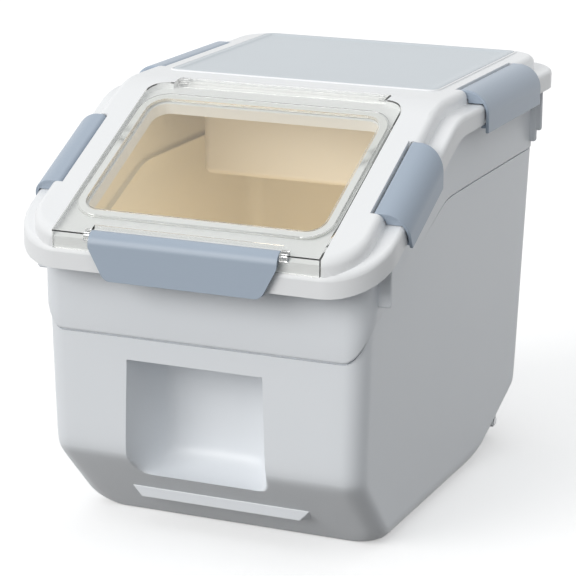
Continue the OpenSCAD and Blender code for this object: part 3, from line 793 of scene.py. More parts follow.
@dataclass
class Tub:
    """The bin's body, collar, rim, gussets, finger ledge and roller cheeks."""

    shop: Workshop
    wall: float = 3.0
    base_half: float = 116.5
    top_half: float = 123.0
    base_front: float = 60.0
    base_rear: float = 240.0
    front_chamfer: float = 60.0
    rear_chamfer: float = 44.0
    front_blend: float = 4.5
    rear_blend: float = 5.0
    end_step: float = 1.6
    rear_lean: float = 10.0
    foot_r: float = 16.0
    body_r: float = 15.0
    collar_low: float = 149.5
    collar_high: float = 233.0
    collar_bend: float = 149.0
    collar_blend: float = 3.0
    collar_sweep: float = 18.3
    collar_groove: float = 1.8
    collar_zone: float = 1.4
    grip_half: float = 51.5
    grip_flare: float = 4.0
    grip_shift: float = -5.0
    grip_top: float = 132.0
    grip_depth: float = 44.0
    grip_side: float = 13.0
    grip_brow: float = 5.0
    grip_floor: float = 44.0
    grip_scoop: float = 17.0
    grip_mouth: float = 15.5
    edge_share: float = 0.5
    first_height: float = 150.0
    passes: int = 4
    first_level: float = 64.0
    rim_t: float = 2.5
    rim_edge: float = 6.6
    ledge_half: float = 70.0
    ledge_y: float = 32.0
    ledge_tall: float = 8.5
    ledge_slant: float = 8.7
    gussets: tuple[Gusset, ...] = (Gusset(18.0, 9.6, 41.0, 1.3), Gusset(338.0, 9.2, 40.0, 1.3),
                                   Gusset(338.0, 5.0, 49.0, 1.6))
    cheek_r: float = 5.0
    cheek_t: float = 3.0
    cheek_gap: float = 8.5
    loop: Loop = field(init=False)

    def __post_init__(self) -> None:
        """Lays out the stations, close together at the grip recess's edges and over its side walls."""
        reach = 1.7 * self.grip_side / (2 * self.grip_half)
        curve = reach * np.linspace(0.0, 1.0, 19)
        middle = np.linspace(curve[-1], 1.0 - curve[-1], 14)[1:-1]
        inside = np.concatenate([curve, middle, 1.0 - curve[::-1]])
        outside = np.array([0.0, 0.2, 0.38, 0.55, 0.7, 0.82, 0.9, 0.95, 0.98, 0.993])
        left = -1.0 + (1.0 - self.edge_share) * outside
        front = np.concatenate([left, self.edge_share * (2.0 * inside - 1.0), -left[::-1]])
        self.loop = Loop.make(front, 78, 24, 9)

    @property
    def rear_low(self) -> float:
        """Distance back to where the slanted lower back ends."""
        return PLAN.collar_depth - self.end_step - self.rear_lean

    def half(self, z: np.ndarray) -> np.ndarray:
        """Half width of the body at a height: a straight taper."""
        return self.base_half + (self.top_half - self.base_half) * np.clip(z / self.collar_high, 0.0, 1.0)

    def front(self, z: np.ndarray, inset: float) -> np.ndarray:
        """Front of the body at a height: the upright wall and the slanted lower front, softly joined."""
        lean = (self.base_front - self.end_step) / self.front_chamfer
        slant = self.base_front - lean * z + inset * sqrt(1.0 + lean**2)
        return soft_max(slant, self.end_step + inset, self.front_blend)

    def rear(self, z: np.ndarray, inset: float) -> np.ndarray:
        """Back of the body at a height: the slanted lower back and the wall that leans out above it.

        Args:
            z: Heights.
            inset: How far the wall is drawn in.

        Returns:
            Distances back.
        """
        lean = (self.rear_low - self.base_rear) / self.rear_chamfer
        slant = self.base_rear + lean * z - inset * sqrt(1.0 + lean**2)
        rise = (z - self.rear_chamfer) / (self.collar_high - self.rear_chamfer)
        upright = self.rear_low + self.rear_lean * np.clip(rise, 0.0, 1.0) - inset
        return soft_min(slant, upright, self.rear_blend)

    def collar_edge(self, y: np.ndarray) -> np.ndarray:
        """Height of the collar's lower edge, by how far back a row's stations lie.

        It sweeps up round the front corner, climbs along the side and levels off at its bend.

        Args:
            y: Distances back of the row's stations.

        Returns:
            The edge's height at each.
        """
        back = y - y.min()
        climb = (self.collar_high - self.collar_low - self.collar_sweep) / self.collar_bend
        dip = self.collar_sweep * np.clip(1.0 - back / PLAN.collar_r, 0.0, 1.0) ** 1.8
        line = self.collar_low + self.collar_sweep - dip + climb * back
        return soft_min(line, self.collar_high, self.collar_blend)

    def settle(self, shape: Outline, height: Heights) -> np.ndarray:
        """Finds a row whose outline depends on its height and whose height depends on its depth.

        Args:
            shape: Gives half width, front, back and radius at heights.
            height: Gives heights at depths.

        Returns:
            The row's points after the last pass, each pass using the heights of the one before.
        """
        z = np.full_like(self.loop.share_x, self.first_height)
        for _ in range(self.passes):
            x, y = self.loop.place(*shape(z))
            z = height(y)
        return np.stack([x, y, z], 1)

    def body_shape(self, inset: float, side_inset: float = 0.0) -> Outline:
        """The body's outline at a height, drawn in by an inset, and further at the sides."""
        return lambda z: (self.half(z) - inset - side_inset, self.front(z, inset), self.rear(z, inset),
                          np.full_like(z, self.body_r - inset * 0.5))

    def collar_shape(self, inset: float) -> Outline:
        """The collar's outline, drawn in by an inset."""
        return lambda z: (np.full_like(z, PLAN.collar_half - inset), np.full_like(z, inset),
                          np.full_like(z, PLAN.collar_depth - inset), np.full_like(z, PLAN.collar_r - inset))

    def carve_grip(self, row: np.ndarray, grow: float) -> np.ndarray:
        """Presses the grip recess into the front of a row.

        The front stations slide sideways so that two of them stand on the recess's edges. Between the
        edges the wall moves back by the depth, times a slanting side wall with a soft inner corner, times
        a steep brow under the top edge. Near its foot the depth comes forward in a quarter ellipse, a
        scoop that runs out at the slanted front. Where that front is already deeper, it stays.

        Args:
            row: The row's points.
            grow: How far the recess is grown, which is the wall for the inside.

        Returns:
            The row with its front pressed in.
        """
        count = self.loop.front_count
        x, y, z = row[:count].T.copy()
        flare = self.grip_flare * np.clip((self.grip_top - z) / self.grip_top, 0.0, 1.0)
        half = self.grip_half + grow + flare
        left, right = self.grip_shift - half, self.grip_shift + half
        share, edge = self.loop.share_x[:count], self.edge_share
        end = np.abs(x[0])
        x = np.where(share < -edge, -end + (share + 1.0) / (1.0 - edge) * (left + end),
                     np.where(share > edge, right + (share - edge) / (1.0 - edge) * (end - right),
                              left + (share + edge) / (2.0 * edge) * (right - left)))
        beside = np.minimum(x - left, right - x) / self.grip_side
        below = (self.grip_top + grow - z) / self.grip_brow
        above = (z - self.grip_floor + grow) / self.grip_scoop
        deep = self.grip_mouth + (self.grip_depth - self.grip_mouth) * round_wall(above)
        pressed = self.end_step + grow + deep * soft_ramp(beside, 0.45) * round_wall(below)
        inside = (beside > 0.0) & (below > 0.0) & (above > 0.0)
        y = np.where(inside, soft_max(y, pressed, 0.8), y)
        out = row.copy()
        out[:count] = np.stack([x, y, z], 1)
        return out

    def body_rows(self, inset: float) -> list[np.ndarray]:
        """Rows of the body's wall from its floor up to the collar, drawn in by an inset.

        The floor's edge comes first, then the rounded foot, then level rows that close up at the
        recess's scoop. Above the slanted front the rows turn to follow the collar's edge, and close up at
        the recess's brow.

        Args:
            inset: 0 for the outside, or the wall for the inside.

        Returns:
            The rows from the floor up.
        """
        shape = self.body_shape
        rows = [self.settle(shape(inset + shrink, self.foot_r), lambda y, z=inset + lift: np.full_like(y, z))
                for lift, shrink in ((0.0, 2.4), (0.5, 0.7))]
        for turn in np.linspace(0.18, 1.0, 8) * pi / 2:
            z = inset * cos(turn) + self.foot_r * (1.0 - cos(turn))
            rows.append(self.settle(shape(inset, self.foot_r * (1.0 - sin(turn))),
                                    lambda y, z=z: np.full_like(y, z)))
        scoop = self.grip_floor - inset + self.grip_scoop * (1.0 - np.cos(np.linspace(0.0, pi / 2, 12)))
        low = scoop[0] - np.array([2.2, 1.0, 0.4, 0.1])
        start, joined = self.first_level, self.collar_low - self.collar_zone
        for z in np.concatenate([np.linspace(19.0, low[0] - 2.5, 6), low, scoop, [start - 1.4]]):
            rows.append(self.settle(shape(inset), lambda y, z=z: np.full_like(y, z)))
        top = self.grip_top + inset
        brow = top - self.grip_brow * (1.0 - np.cos(np.linspace(pi / 2, 0.0, 9)))
        levels = np.concatenate([np.arange(start + 2.5, brow[0] - 1.0, 3.0), brow,
                                 top + np.array([0.35, 1.0, 2.2, 4.5]), [joined - 5.0, joined]])
        for share in (levels - start) / (joined - start):
            rows.append(self.settle(shape(inset), lambda y, s=share: start + s * (
                self.collar_edge(y) - self.collar_zone - start)))
        return [self.carve_grip(row, inset) for row in rows]

    def collar_rows(self, inset: float) -> list[np.ndarray]:
        """Rows of the groove, the collar's rounded edge and its wall, up to where the rim begins.

        Args:
            inset: 0 for the outside, or the wall for the inside.

        Returns:
            The rows from the groove up.
        """
        body, collar = self.body_shape(inset), self.collar_shape(inset)
        groove = self.body_shape(inset + self.collar_groove)
        rows = [self.settle(groove, lambda y, h=lift: self.collar_edge(y) + inset + h)
                for lift in (-1.3, -0.15)]
        for share, lift in ((0.45, 0.0), (0.72, 0.3), (0.9, 0.95), (1.0, 2.1)):
            def between(z: np.ndarray, s: float = share) -> tuple:
                """Outline that lies a share of the way from the body's to the collar's."""
                return tuple((1.0 - s) * a + s * b for a, b in zip(body(z), collar(z)))
            rows.append(self.settle(between, lambda y, h=lift: self.collar_edge(y) + inset + h))
        top = PLAN.rim_drop + self.rim_t + 2.2
        for share in (0.25, 0.5, 0.75, 1.0):
            def climb(y: np.ndarray, s: float = share) -> np.ndarray:
                """Height that lies a share of the way from the collar's edge to the rim."""
                low = self.collar_edge(y) + inset + self.collar_zone
                return low + s * (PROFILE.height(y, top) - low)
            rows.append(self.settle(collar, climb))
        return rows

    def rim_rows(self) -> list[np.ndarray]:
        """Rows out under the rim, round its turned-down edge and back in over its top.

        Each is given by a share, 0 at the collar and 1 at the rim's outside, and a drop below the lid's
        top. A negative share lies inside the collar.

        Returns:
            The rows in that order.
        """
        top, under, low = PLAN.rim_drop, PLAN.rim_drop + self.rim_t, PLAN.rim_drop + self.rim_edge
        reach = PLAN.rim_half - PLAN.collar_half
        inner, outer = 1.0 - self.rim_t / reach, 1.0
        steps = [(0.07, under + 0.7), (0.2, under), (inner - 0.06, under), (inner, under + 0.6),
                 (inner, low - 0.6), (inner + 0.06, low), (outer - 0.06, low), (outer, low - 0.6),
                 (outer, top + 0.8), (outer - 0.03, top + 0.25), (outer - 0.08, top), (0.0, top), (-0.2, top),
                 (-0.27, top + 0.4), (-0.285, top + 1.2)]
        rows = []
        for share, drop in steps:
            inside, out = min(share, 0.0) * reach, max(share, 0.0)
            rows.append(self.loop.ring(
                PLAN.collar_half + out * reach + inside, out * PLAN.rim_front - inside,
                PLAN.collar_depth + out * (PLAN.rim_back - PLAN.collar_depth) + inside,
                PLAN.collar_r + out * (PLAN.rim_r - PLAN.collar_r) + inside, drop))
        return rows

    def finger_ledge(self) -> Form:
        """Ledge on the slanted front: a four-sided bar whose ends slant in towards its lower edge.

        Returns:
            The ledge's form.
        """
        lean = (self.base_front - self.end_step) / self.front_chamfer
        top = (self.base_front - self.ledge_y) / lean
        low = top - self.ledge_tall
        back = self.base_front - low * lean + 1.5
        wide = self.ledge_half
        return sweep([np.array([[sign * wide, self.ledge_y + 0.2, top + 0.3],
                                [sign * (wide - self.ledge_slant), self.ledge_y, low],
                                [sign * (wide - 2.0), back, low],
                                [sign * wide, self.ledge_y + 2.5, top + 1.0]]) for sign in (-1, 1)])

    def gusset_forms(self) -> list[Form]:
        """Upright webs under the rim, near each corner, with a cut lower corner.

        Returns:
            The form of each web.
        """
        embed, cut = 0.8, 1.5
        forms = []
        for side in Side:
            for web in self.gussets:
                top = float(PROFILE.height(web.y, PLAN.rim_drop + 1.2))
                low = top - web.tall
                near, far = PLAN.collar_half - embed, PLAN.collar_half + web.reach
                section = np.array([[near, top], [far, top], [far, low + cut], [far - cut, low], [near, low]])
                forms.append(plate(section * [side.value, 1], 1, web.y, web.half))
        return forms

    def roller_cheeks(self) -> list[Form]:
        """Plates that carry the rollers: a half disc round the axle, drawn up to the slanted back.

        Returns:
            The form of each plate.
        """
        lean = (self.rear_low - self.base_rear) / self.rear_chamfer
        disc = arc_points((PLAN.roller_y, PLAN.roller_z), self.cheek_r, pi, 2 * pi, 16)
        ends = [[y, (y - self.base_rear) / lean + 1.5]
                for y in (PLAN.roller_y + self.cheek_r, PLAN.roller_y - self.cheek_r)]
        section = np.concatenate([disc, np.array(ends)])
        return [plate(section, 0, side.value * PLAN.roller_x + place, self.cheek_t / 2)
                for side in Side for place in (-self.cheek_gap, self.cheek_gap)]

    def build(self) -> None:
        """Builds the shell and its ribs.

        The shell is one closed grid: up the outside, round the rim and down the inside. The faces past
        the rim take the inside's painted warm light, all but the fan that closes the outside's floor.
        """
        outside = self.body_rows(0.0) + self.collar_rows(0.0) + self.rim_rows()
        inside = (self.body_rows(self.wall) + self.collar_rows(self.wall))[::-1]
        points, faces = loft(outside + inside)
        fan = len(self.loop.share_x)
        zones = (np.arange(len(faces)) >= len(outside) * fan).astype(np.int32)
        zones[-2 * fan:-fan] = 0
        piece = make_mesh("tub_shell", [(points, faces)], zones)
        shade(piece, 40.0)
        self.shop.finishes.dress(piece, Slot.TUB, self.shop.finishes.painted_warm_light_inside)
        self.shop.place(piece, "root", Slot.TUB, "tub")
        ribs = [self.finger_ledge(), *self.gusset_forms(), *self.roller_cheeks()]
        self.shop.mould("tub_ribs_and_ledge", "root", Slot.TUB, "tub", ribs, 1.0, 32.0)


# Lid


@dataclass
class LidFrame:
    """The white lid frame, its seal and the deck cover with the storage box under it."""

    shop: Workshop
    seal_inset: float = 4.2
    seal_w: float = 5.0
    seal_top: float = 12.5
    cover_half: float = 105.0
    cover_front: float = 174.0
    cover_depth: float = 180.0
    cover_t: float = 3.0
    cover_proud: float = 1.0
    cover_sunk: float = 0.8
    cover_edge: float = 0.8
    cover_r: float = 6.0
    rib_gap: float = 0.6
    rib_t: float = 2.0
    box_half: float = 84.0
    box_front: float = 183.0
    box_back: float = 345.0
    box_h: float = 80.0
    box_t: float = 2.0
    box_r: float = 8.0
    box_foot: float = 5.0
    flange: float = 7.0
    flange_t: float = 2.0
    seat: float = 4.3

    def seal(self) -> None:
        """The rim seal: a rounded strip carried round the rim's outline, with two sealing lips below."""
        loop = Loop.plain(40, 10)
        top, low, middle = self.seal_top, PLAN.rim_drop - 0.3, self.seal_w / 2
        section = ((0.0, top), (self.seal_w, top), (self.seal_w, low - 0.7), (self.seal_w - 0.8, low),
                   (middle + 0.5, low - 0.5), (middle - 0.5, low - 0.5), (0.8, low), (0.0, low - 0.7))
        rows = []
        for across, drop in section:
            inset = self.seal_inset + across
            rows.append(loop.ring(PLAN.rim_half - inset, PLAN.rim_front + inset, PLAN.rim_back - inset,
                                  PLAN.rim_r - inset, drop))
        self.shop.mould("lid_seal_strip", "lid", Slot.SEAL, "lid_seal", [loft(rows, close=True)])

    def box_row(self, loop: Loop, inset: float, radius: float, z: float) -> np.ndarray:
        """A level row at an inset from the storage box's outside."""
        return loop.flat(self.box_half - inset, self.box_front + inset, self.box_back - inset, radius, z)

    def cover_row(self, loop: Loop, inset: float, radius: float, z: float) -> np.ndarray:
        """A level row at an inset from the deck cover's edge."""
        back = self.cover_front + self.cover_depth
        return loop.flat(self.cover_half - inset, self.cover_front + inset, back - inset, radius, z)

    def cover(self) -> None:
        """The deck cover: a panel with a rounded edge, a middle sunk within it and a locating rib below."""
        loop = Loop.plain(12, 8)
        top = PROFILE.deck_z + self.cover_proud
        low, sunk = top - self.cover_t, top - self.cover_sunk
        foot = PROFILE.deck_z - self.seat - 2.0
        rib, edge = self.box_t + self.rib_gap, self.cover_edge
        rows = [self.box_row(loop, rib + 8.0, 3.0, low)]
        for inset, z in ((self.rib_t, low), (self.rib_t, foot + 0.3), (self.rib_t - 0.3, foot), (0.3, foot),
                         (0.0, foot + 0.3), (0.0, low)):
            rows.append(self.box_row(loop, rib + inset, self.box_r - 2.0 - inset / 2, z))
        rows.append(self.cover_row(loop, 0.3, self.cover_r - 0.3, low))
        steps = [(0.0, low + 0.3)] + [(edge * (1 - cos(a)), top - edge + edge * sin(a))
                                      for a in np.linspace(0.0, pi / 2, 5)]
        steps += [(4.2, top), (5.0, top - 0.15), (5.8, sunk + 0.15), (6.6, sunk), (11.0, sunk)]
        rows += [self.cover_row(loop, inset, max(self.cover_r - inset, 1.0), z) for inset, z in steps]
        self.shop.mould("deck_cover_panel", "deck_cover", Slot.DECK, "deck_cover", [loft(rows)])

    def box(self) -> None:
        """The storage box: a deep tray with a flange, its floor edge rounded."""
        loop = Loop.plain(14, 8)
        bottom, seat_z, flange = PROFILE.deck_z - self.box_h, PROFILE.deck_z - self.seat, self.flange
        steps = quarter(0.0, bottom, self.box_foot, 0.0, pi / 2, 6)
        steps += [(0.0, seat_z - 0.4), (-0.4, seat_z), (-flange + 0.3, seat_z), (-flange, seat_z + 0.3),
                  (-flange, seat_z + self.flange_t - 0.4), (-flange + 0.4, seat_z + self.flange_t),
                  (self.box_t - 0.5, seat_z + self.flange_t), (self.box_t, seat_z + self.flange_t - 0.5)]
        steps += quarter(self.box_t, bottom + self.box_t, self.box_foot - self.box_t, pi / 2, 0.0, 6)
        rows = [self.box_row(loop, inset, max(self.box_r - inset, 1.0), z) for inset, z in steps]
        self.shop.mould("storage_box_tray", "lid", Slot.BOX, "storage_box", [loft(rows)])

    def build(self) -> None:
        """Builds the frame from its CAD form, and what it carries."""
        self.shop.soften("lid_frame_moulded", "lid", Slot.LID, "lid_frame", 0.6, 2)
        self.seal()
        self.cover()
        self.box()


@dataclass
class FlipLid:
    """The clear flip lid, its milky seal and its hinge pins."""

    shop: Workshop
    window_half: float = 88.5
    window_start: float = 26.5
    window_len: float = 125.0
    window_r: float = 12.0
    seal_in: float = 1.5
    seal_w: float = 5.0
    seal_low: float = -4.7
    seal_high: float = -1.5

    def seal(self) -> None:
        """The window seal: a soft strip with a rounded lower lip, carried round the opening."""
        loop = Loop.plain(20, 10)
        low, high, width = self.seal_low, self.seal_high, self.seal_w
        section = [(0.0, high), (0.0, low + 1.2), (0.4, low + 0.4), (1.2, low), (width - 1.2, low),
                   (width - 0.4, low + 0.4), (width, low + 1.2), (width, high)]
        rows = []
        for across, rise in section:
            out = self.seal_in + across
            rows.append(loop.up_slope(self.window_half + out, self.window_start - out,
                                      self.window_start + self.window_len + out, self.window_r + out, rise))
        self.shop.mould("window_seal_strip", "flip_lid", Slot.SEAL, "window_seal", [loft(rows, close=True)])

    def build(self) -> None:
        """Builds the clear plate from its CAD form with polished round edges, its seal and its pins."""
        self.shop.soften("flip_lid_clear", "flip_lid", Slot.CLEAR, "flip_lid", 0.45, 3)
        self.seal()
        for side in Side:
            self.shop.keep(f"flip_hinge_pin_{side.name.lower()}", Slot.STEEL)


# Latches


@dataclass
class FrontLatch:
    """The front latch: a bent front wall with a lip at its foot, narrower towards its lower edge."""

    shop: Workshop
    wide_half: float = 69.8
    foot_half: float = 58.0
    corner: float = 4.0
    thick: float = 2.4
    hang: float = 31.0
    barrel_r: float = 3.6
    bend_r: float = 9.0
    taper_from: float = 18.0
    proud: float = 1.0
    skirt_gap: float = 1.1
    pin_back: float = 4.0
    wall_gap: float = 0.9
    lip_t: float = 2.6

    @property
    def foot(self) -> float:
        """Height of the latch's lower edge."""
        return PROFILE.front_z - self.hang

    @property
    def skirt_low(self) -> float:
        """Height of the lid skirt's lower edge at the front."""
        return float(PROFILE.height(-PLAN.skirt_end, PLAN.skirt_drop))

    def centre(self, y: float, radius: float) -> tuple[float, float]:
        """Centre of an arc of this radius that touches the latch's top plane, at a distance back."""
        return y, float(PROFILE.height(y, -self.proud)) - radius / cos(PROFILE.slope)

    def section(self) -> np.ndarray:
        """Outline of the latch seen from the side: bend, front wall, foot, lip, inner wall and barrel.

        Returns:
            The outline's points as (y, z).
        """
        lip_face = -PLAN.skirt_end - self.skirt_gap
        pin = self.centre(lip_face + self.pin_back, self.barrel_r)
        face = lip_face - self.wall_gap - self.thick
        bend = self.centre(face + self.bend_r, self.bend_r)
        to_pin = atan2(pin[1] - bend[1], pin[0] - bend[0])
        inner, lip_y, lip_z = face + self.thick, -PLAN.skirt_end - 0.3, self.skirt_low - 0.8
        lift = pi / 2 + PROFILE.slope
        outer = arc_points(bend, self.bend_r, lift, pi, 14)
        wall = np.stack([np.full(12, face), np.linspace(bend[1], self.foot, 14)[1:-1]], 1)
        lip = np.array([[face, self.foot], [inner, self.foot], [inner, lip_z - self.lip_t],
                        [lip_y, lip_z - self.lip_t], [lip_y, lip_z], [inner, lip_z]])
        back = arc_points(bend, self.bend_r - self.thick, pi, to_pin + 0.35, 12)
        barrel = arc_points(pin, self.barrel_r, pi + 0.6, 2 * pi + lift, 18)
        return np.concatenate([outer, wall, lip, back, barrel])

    def half(self, z: np.ndarray) -> np.ndarray:
        """Half width at a height: straight to the taper's start, then narrower, with round lower corners.

        Args:
            z: Heights.

        Returns:
            The half width at each.
        """
        start = self.skirt_low + self.taper_from
        share = np.clip((z - self.foot) / (start - self.foot), 0.0, 1.0)
        straight = self.foot_half + (self.wide_half - self.foot_half) * share
        drop = np.clip(self.corner - (z - self.foot), 0.0, self.corner)
        return straight - self.corner + np.sqrt(self.corner**2 - drop**2)

    def build(self) -> None:
        """Carries the section from side to side, each point as far as the latch is wide at its height.

        The front wall's points over the rounded lower corners are laid closer first.
        """
        section = self.section()
        first = int(np.argmax(section[:, 1] < self.foot + 0.01))
        fine = self.foot + self.corner * (1 - np.cos(np.linspace(0.0, pi / 2, 6)))[1:]
        extra = np.stack([np.full(5, section[first, 0]), fine[::-1]], 1)
        above = section[:first][section[:first, 1] > fine[-1] + 0.3]
        section = np.concatenate([above, extra, section[first:]])
        half = self.half(section[:, 1])
        rows = [np.stack([step * half, section[:, 0], section[:, 1]], 1) for step in (-1.0, 0.0, 1.0)]
        self.shop.mould("front_latch_grip", "front_latch", Slot.LATCH, "front_latch", [sweep(rows)], 0.7)
        self.shop.keep("front_latch_pin", Slot.STEEL)


@dataclass
class SideLatch:
    """A side latch: a hinge barrel, a wide bend over the lid's edge and a leg that hooks under the rim."""

    shop: Workshop
    side: Side
    site: Site
    thick: float = 2.4
    barrel_r: float = 3.1
    bend_r: float = 17.3
    deck_hang: float = 30.0
    slope_hang: float = 27.6
    slope_start: float = 51.0
    slope_len: float = 78.0
    deck_start: float = 186.0
    deck_len: float = 120.0
    top: float = -0.1
    bend_x: float = PLAN.plateau_half - 0.5
    pin_x: float = PLAN.plateau_half - 4.5
    lip_t: float = 2.6
    lip_trim: float = 2.0
    web_t: float = 2.2
    web_embed: float = 0.6
    web_end: float = 0.002

    @property
    def bend(self) -> tuple[float, float]:
        """Centre of the bend."""
        return self.bend_x, self.top - self.bend_r

    def section(self) -> np.ndarray:
        """Outline of the shell: bend, leg, foot, the bend's inside and the hinge barrel.

        Returns:
            The outline's points as (outwards, height above the lid's top).
        """
        out = self.bend_x + self.bend_r
        join = asin((self.barrel_r - self.thick) / self.barrel_r)
        hang = self.slope_hang if self.site is Site.SLOPE else self.deck_hang
        outer = arc_points(self.bend, self.bend_r, pi / 2, 0.0, 20)
        foot = np.array([[out, -hang], [out - self.thick, -hang]])
        inner = arc_points(self.bend, self.bend_r - self.thick, 0.0, pi / 2, 16)
        barrel = arc_points((self.pin_x, self.top - self.barrel_r), self.barrel_r, join, -1.5 * pi, 24)
        return np.concatenate([outer, foot, inner, barrel])

    def lip(self) -> np.ndarray:
        """Outline of the hooking lip as (outwards, height above the lid's top)."""
        high = -PLAN.skirt_drop - 0.5
        low = high - self.lip_t
        near, far = PLAN.rim_half + 0.3, self.bend_x + self.bend_r - 0.5
        return np.array([[near, high], [far, high], [far, low], [near, low]])

    def web(self) -> np.ndarray:
        """Outline of the web that closes an end, down to just above the lid's step."""
        under = arc_points(self.bend, self.bend_r - self.thick + self.web_embed, pi / 2, radians(33.0), 8)
        ledge, seat, step = -9.3, -6.4, PLAN.plateau_half + 0.7
        back = np.array([[under[-1, 0] - 1.2, ledge], [step, ledge], [step, seat], [step - self.web_t, seat],
                         [step - self.web_t, self.top - self.thick + self.web_embed]])
        return np.concatenate([under, back])

    def run(self, section: np.ndarray, trim: float, start: float = 0.0, end_share: float = 1.0) -> Form:
        """Carries a section along the lid. On the slope the far end stands upright, as the deck does.

        Args:
            section: Points as (outwards, height).
            trim: How much shorter the run is at each end.
            start: Share of the length where the run starts.
            end_share: Share of the length where it ends.

        Returns:
            The points and the faces.
        """
        x, rise = self.side.value * section[:, 0], section[:, 1]
        rows = []
        for share in np.linspace(start, end_share, 3):
            if self.site is Site.SLOPE:
                near = self.slope_start + trim
                end = (self.slope_start + self.slope_len - trim / cos(PROFILE.slope)
                       + rise * tan(PROFILE.slope))
                rows.append(PROFILE.on_slope(x, near + share * (end - near), rise))
            else:
                y = self.deck_start + trim + share * (self.deck_len - 2 * trim)
                rows.append(np.stack([x, np.full_like(x, y), PROFILE.deck_z + rise], 1))
        return sweep(rows)

    def build(self) -> None:
        """Builds the latch as one piece: shell, lip and a web at each end."""
        thin = self.web_t / (self.slope_len if self.site is Site.SLOPE else self.deck_len)
        forms = [self.run(self.section(), 0.0), self.run(self.lip(), self.lip_trim)]
        forms += [self.run(self.web(), 0.0, start, start + thin)
                  for start in (self.web_end, 1.0 - self.web_end - thin)]
        body = f"{self.site.value}_side_latch_{self.side.name.lower()}"
        self.shop.mould(f"{body}_grip", body, Slot.LATCH, body, forms, 0.7)


# Rollers


@dataclass
class Roller:
    """A rear roller, turned about its axle."""

    shop: Workshop
    side: Side
    radius: float = 10.0
    half: float = 6.0
    bore: float = 2.05
    hub_r: float = 6.5
    dish_r: float = 7.0
    dish: float = 1.0
    steps: int = 48

    def build(self) -> None:
        """Turns the roller's profile about X and keeps its axle.

        Half the profile, as (radius, distance from the face), runs over the hub, a shallow dish and the
        tread's rounded edge. The other half mirrors it.
        """
        near = [(self.bore, 0.0), (self.hub_r, 0.0), (self.hub_r + 0.3, 0.3), (self.dish_r, self.dish),
                (self.radius - 1.6, self.dish), (self.radius - 0.6, 1.5), (self.radius, 2.6)]
        profile = [(out, depth - self.half) for out, depth in near]
        profile += [(out, -place) for out, place in profile[::-1]]
        turn = np.linspace(0.0, 2 * pi, self.steps + 1)[:-1]
        rows = [np.stack([np.full(self.steps, self.side.value * PLAN.roller_x + place),
                          PLAN.roller_y + out * np.cos(turn), PLAN.roller_z + out * np.sin(turn)], 1)
                for out, place in profile]
        name = self.side.name.lower()
        self.shop.mould(f"wheel_{name}_turned", f"wheel_{name}", Slot.ROLLER, f"wheel_{name}",
                        [loft(rows, close=True)])
        self.shop.keep(f"wheel_axle_{name}", Slot.STEEL)


# Studio


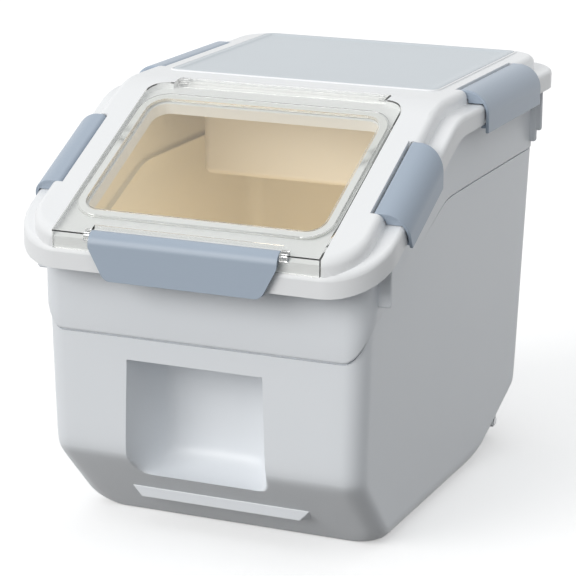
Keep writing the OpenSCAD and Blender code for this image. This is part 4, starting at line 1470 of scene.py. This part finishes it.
@dataclass
class Studio:
    """Camera, lamps, world and floor."""

    camera_place: tuple[float, float, float] = (685.3, -1427.1, 624.3)
    azimuth: float = 23.453
    elevation: float = 15.330
    roll: float = 0.154
    focal_pixels: float = 2421.225
    view_end: float = 50.0
    sun_from: tuple[float, float, float] = (-0.18, -0.306, 0.14)
    sun_strength: float = 1.5
    sun_angle: float = 40.0
    sun_colour: tuple[float, float, float] = (1.0, 0.99, 0.975)
    inner_power: float = 0.20
    inner_size: float = 0.04
    inner_colour: tuple[float, float, float] = (1.0, 0.87, 0.67)
    inner_place: tuple[float, float, float] = (0.0, 105.0, 105.0)
    sky_colour: tuple[float, float, float] = (0.975, 0.99, 1.0)
    ambient: float = 0.70
    floor_bounce: float = 0.02
    floor_seen: float = 0.85
    floor_glow: float = 0.38
    floor_size: float = 12.0

    def camera(self) -> None:
        """Sets the camera at the photograph's place, turned and focused as it was."""
        data = bpy.data.cameras.new("camera")
        data.sensor_width = SENSOR_WIDTH
        data.lens = self.focal_pixels * SENSOR_WIDTH / IMAGE_WIDTH
        data.clip_end = self.view_end
        az, el, roll = radians(self.azimuth), radians(self.elevation), radians(self.roll)
        back = Vector((sin(az) * cos(el), -cos(az) * cos(el), sin(el)))
        right = Vector((cos(az), sin(az), 0.0))
        up = back.cross(right)
        turned_right = right * cos(roll) + up * sin(roll)
        turned_up = up * cos(roll) - right * sin(roll)
        place = Vector(to_metres(np.array(self.camera_place)).tolist())
        columns = Matrix((turned_right, turned_up, back)).transposed().to_4x4()
        eye = link("camera", data)
        eye.matrix_world = Matrix.Translation(place) @ columns
        bpy.context.scene.camera = eye

    def seen(self, make: NodeMaker) -> bpy.types.NodeSocket:
        """A mask that is 1 for rays from the camera, and for those that gloss and clear plastic send on."""
        path = make.node("ShaderNodeLightPath").outputs
        direct = make.math("MAXIMUM", path["Is Camera Ray"], path["Is Glossy Ray"])
        return make.math("MAXIMUM", direct, path["Is Transmission Ray"])

    def world(self) -> None:
        """Even light from all round, and white where the camera looks past the floor."""
        world = bpy.data.worlds.new("studio")
        bpy.context.scene.world = world
        world.use_nodes = True
        make = NodeMaker(world.node_tree)
        light = make.fill(world.node_tree.nodes["Background"], Color=(*self.sky_colour, 1.0),
                          Strength=self.ambient)
        white = make.node("ShaderNodeBackground", Color=(1.0, 1.0, 1.0, 1.0), Strength=1.0)
        make.finish("World Output", make.row("ShaderNodeMixShader", self.seen(make), light.outputs[0],
                                             white.outputs[0]))

    def lamps(self) -> None:
        """A broad, soft key from the front left, and a low warm fill lamp inside the tub, which adds to the
        painted warm light of its inside.
        """
        sun = bpy.data.lights.new("key", "SUN")
        sun.energy = self.sun_strength
        sun.angle = radians(self.sun_angle)
        sun.color = self.sun_colour
        link("key", sun).rotation_euler = Vector(self.sun_from).to_track_quat("Z", "Y").to_euler()
        fill = bpy.data.lights.new("inner_fill", "POINT")
        fill.energy = self.inner_power
        fill.shadow_soft_size = self.inner_size
        fill.color = self.inner_colour
        link("inner_fill", fill).location = to_metres(np.array(self.inner_place)).tolist()

    def floor(self) -> None:
        """A plain white floor that keeps the bin's contact shadow and throws little light back."""
        reach = self.floor_size / 2
        data = bpy.data.meshes.new("floor")
        corners = [(-reach, -reach, 0.0), (reach, -reach, 0.0), (reach, reach, 0.0), (-reach, reach, 0.0)]
        data.from_pydata(corners, [], [(0, 1, 2, 3)])
        material, make, unused = new_material("white_floor")
        make.tree.nodes.remove(unused)
        quiet = make.node("ShaderNodeBsdfDiffuse", Color=(*[self.floor_bounce] * 3, 1.0))
        pale = make.node("ShaderNodeBsdfDiffuse", Color=(*[self.floor_seen] * 3, 1.0))
        glow = make.node("ShaderNodeEmission", Color=(1.0, 1.0, 1.0, 1.0), Strength=self.floor_glow)
        both = make.row("ShaderNodeAddShader", pale.outputs[0], glow.outputs[0])
        make.finish("Material Output", make.row("ShaderNodeMixShader", self.seen(make), quiet.outputs[0],
                                                both.outputs[0]))
        data.materials.append(material)
        link("floor", data)

    def build(self) -> None:
        """Sets up the studio."""
        self.camera()
        self.world()
        self.lamps()
        self.floor()
        bpy.context.scene.view_settings.view_transform = "Standard"


def main() -> None:
    """Builds the dressed bin in order."""
    logging.basicConfig(level=logging.INFO, format="%(name)s: %(message)s")
    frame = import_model()
    shop = Workshop(frame, Finishes())
    Studio().build()
    Tub(shop).build()
    LidFrame(shop).build()
    FlipLid(shop).build()
    FrontLatch(shop).build()
    for side in Side:
        for site in Site:
            SideLatch(shop, side, site).build()
        Roller(shop, side).build()
    for pins in ("front_side_latch_pins", "rear_side_latch_pins"):
        shop.keep(pins, Slot.STEEL)
    bpy.context.view_layer.update()


if __name__ == "__main__":
    main()
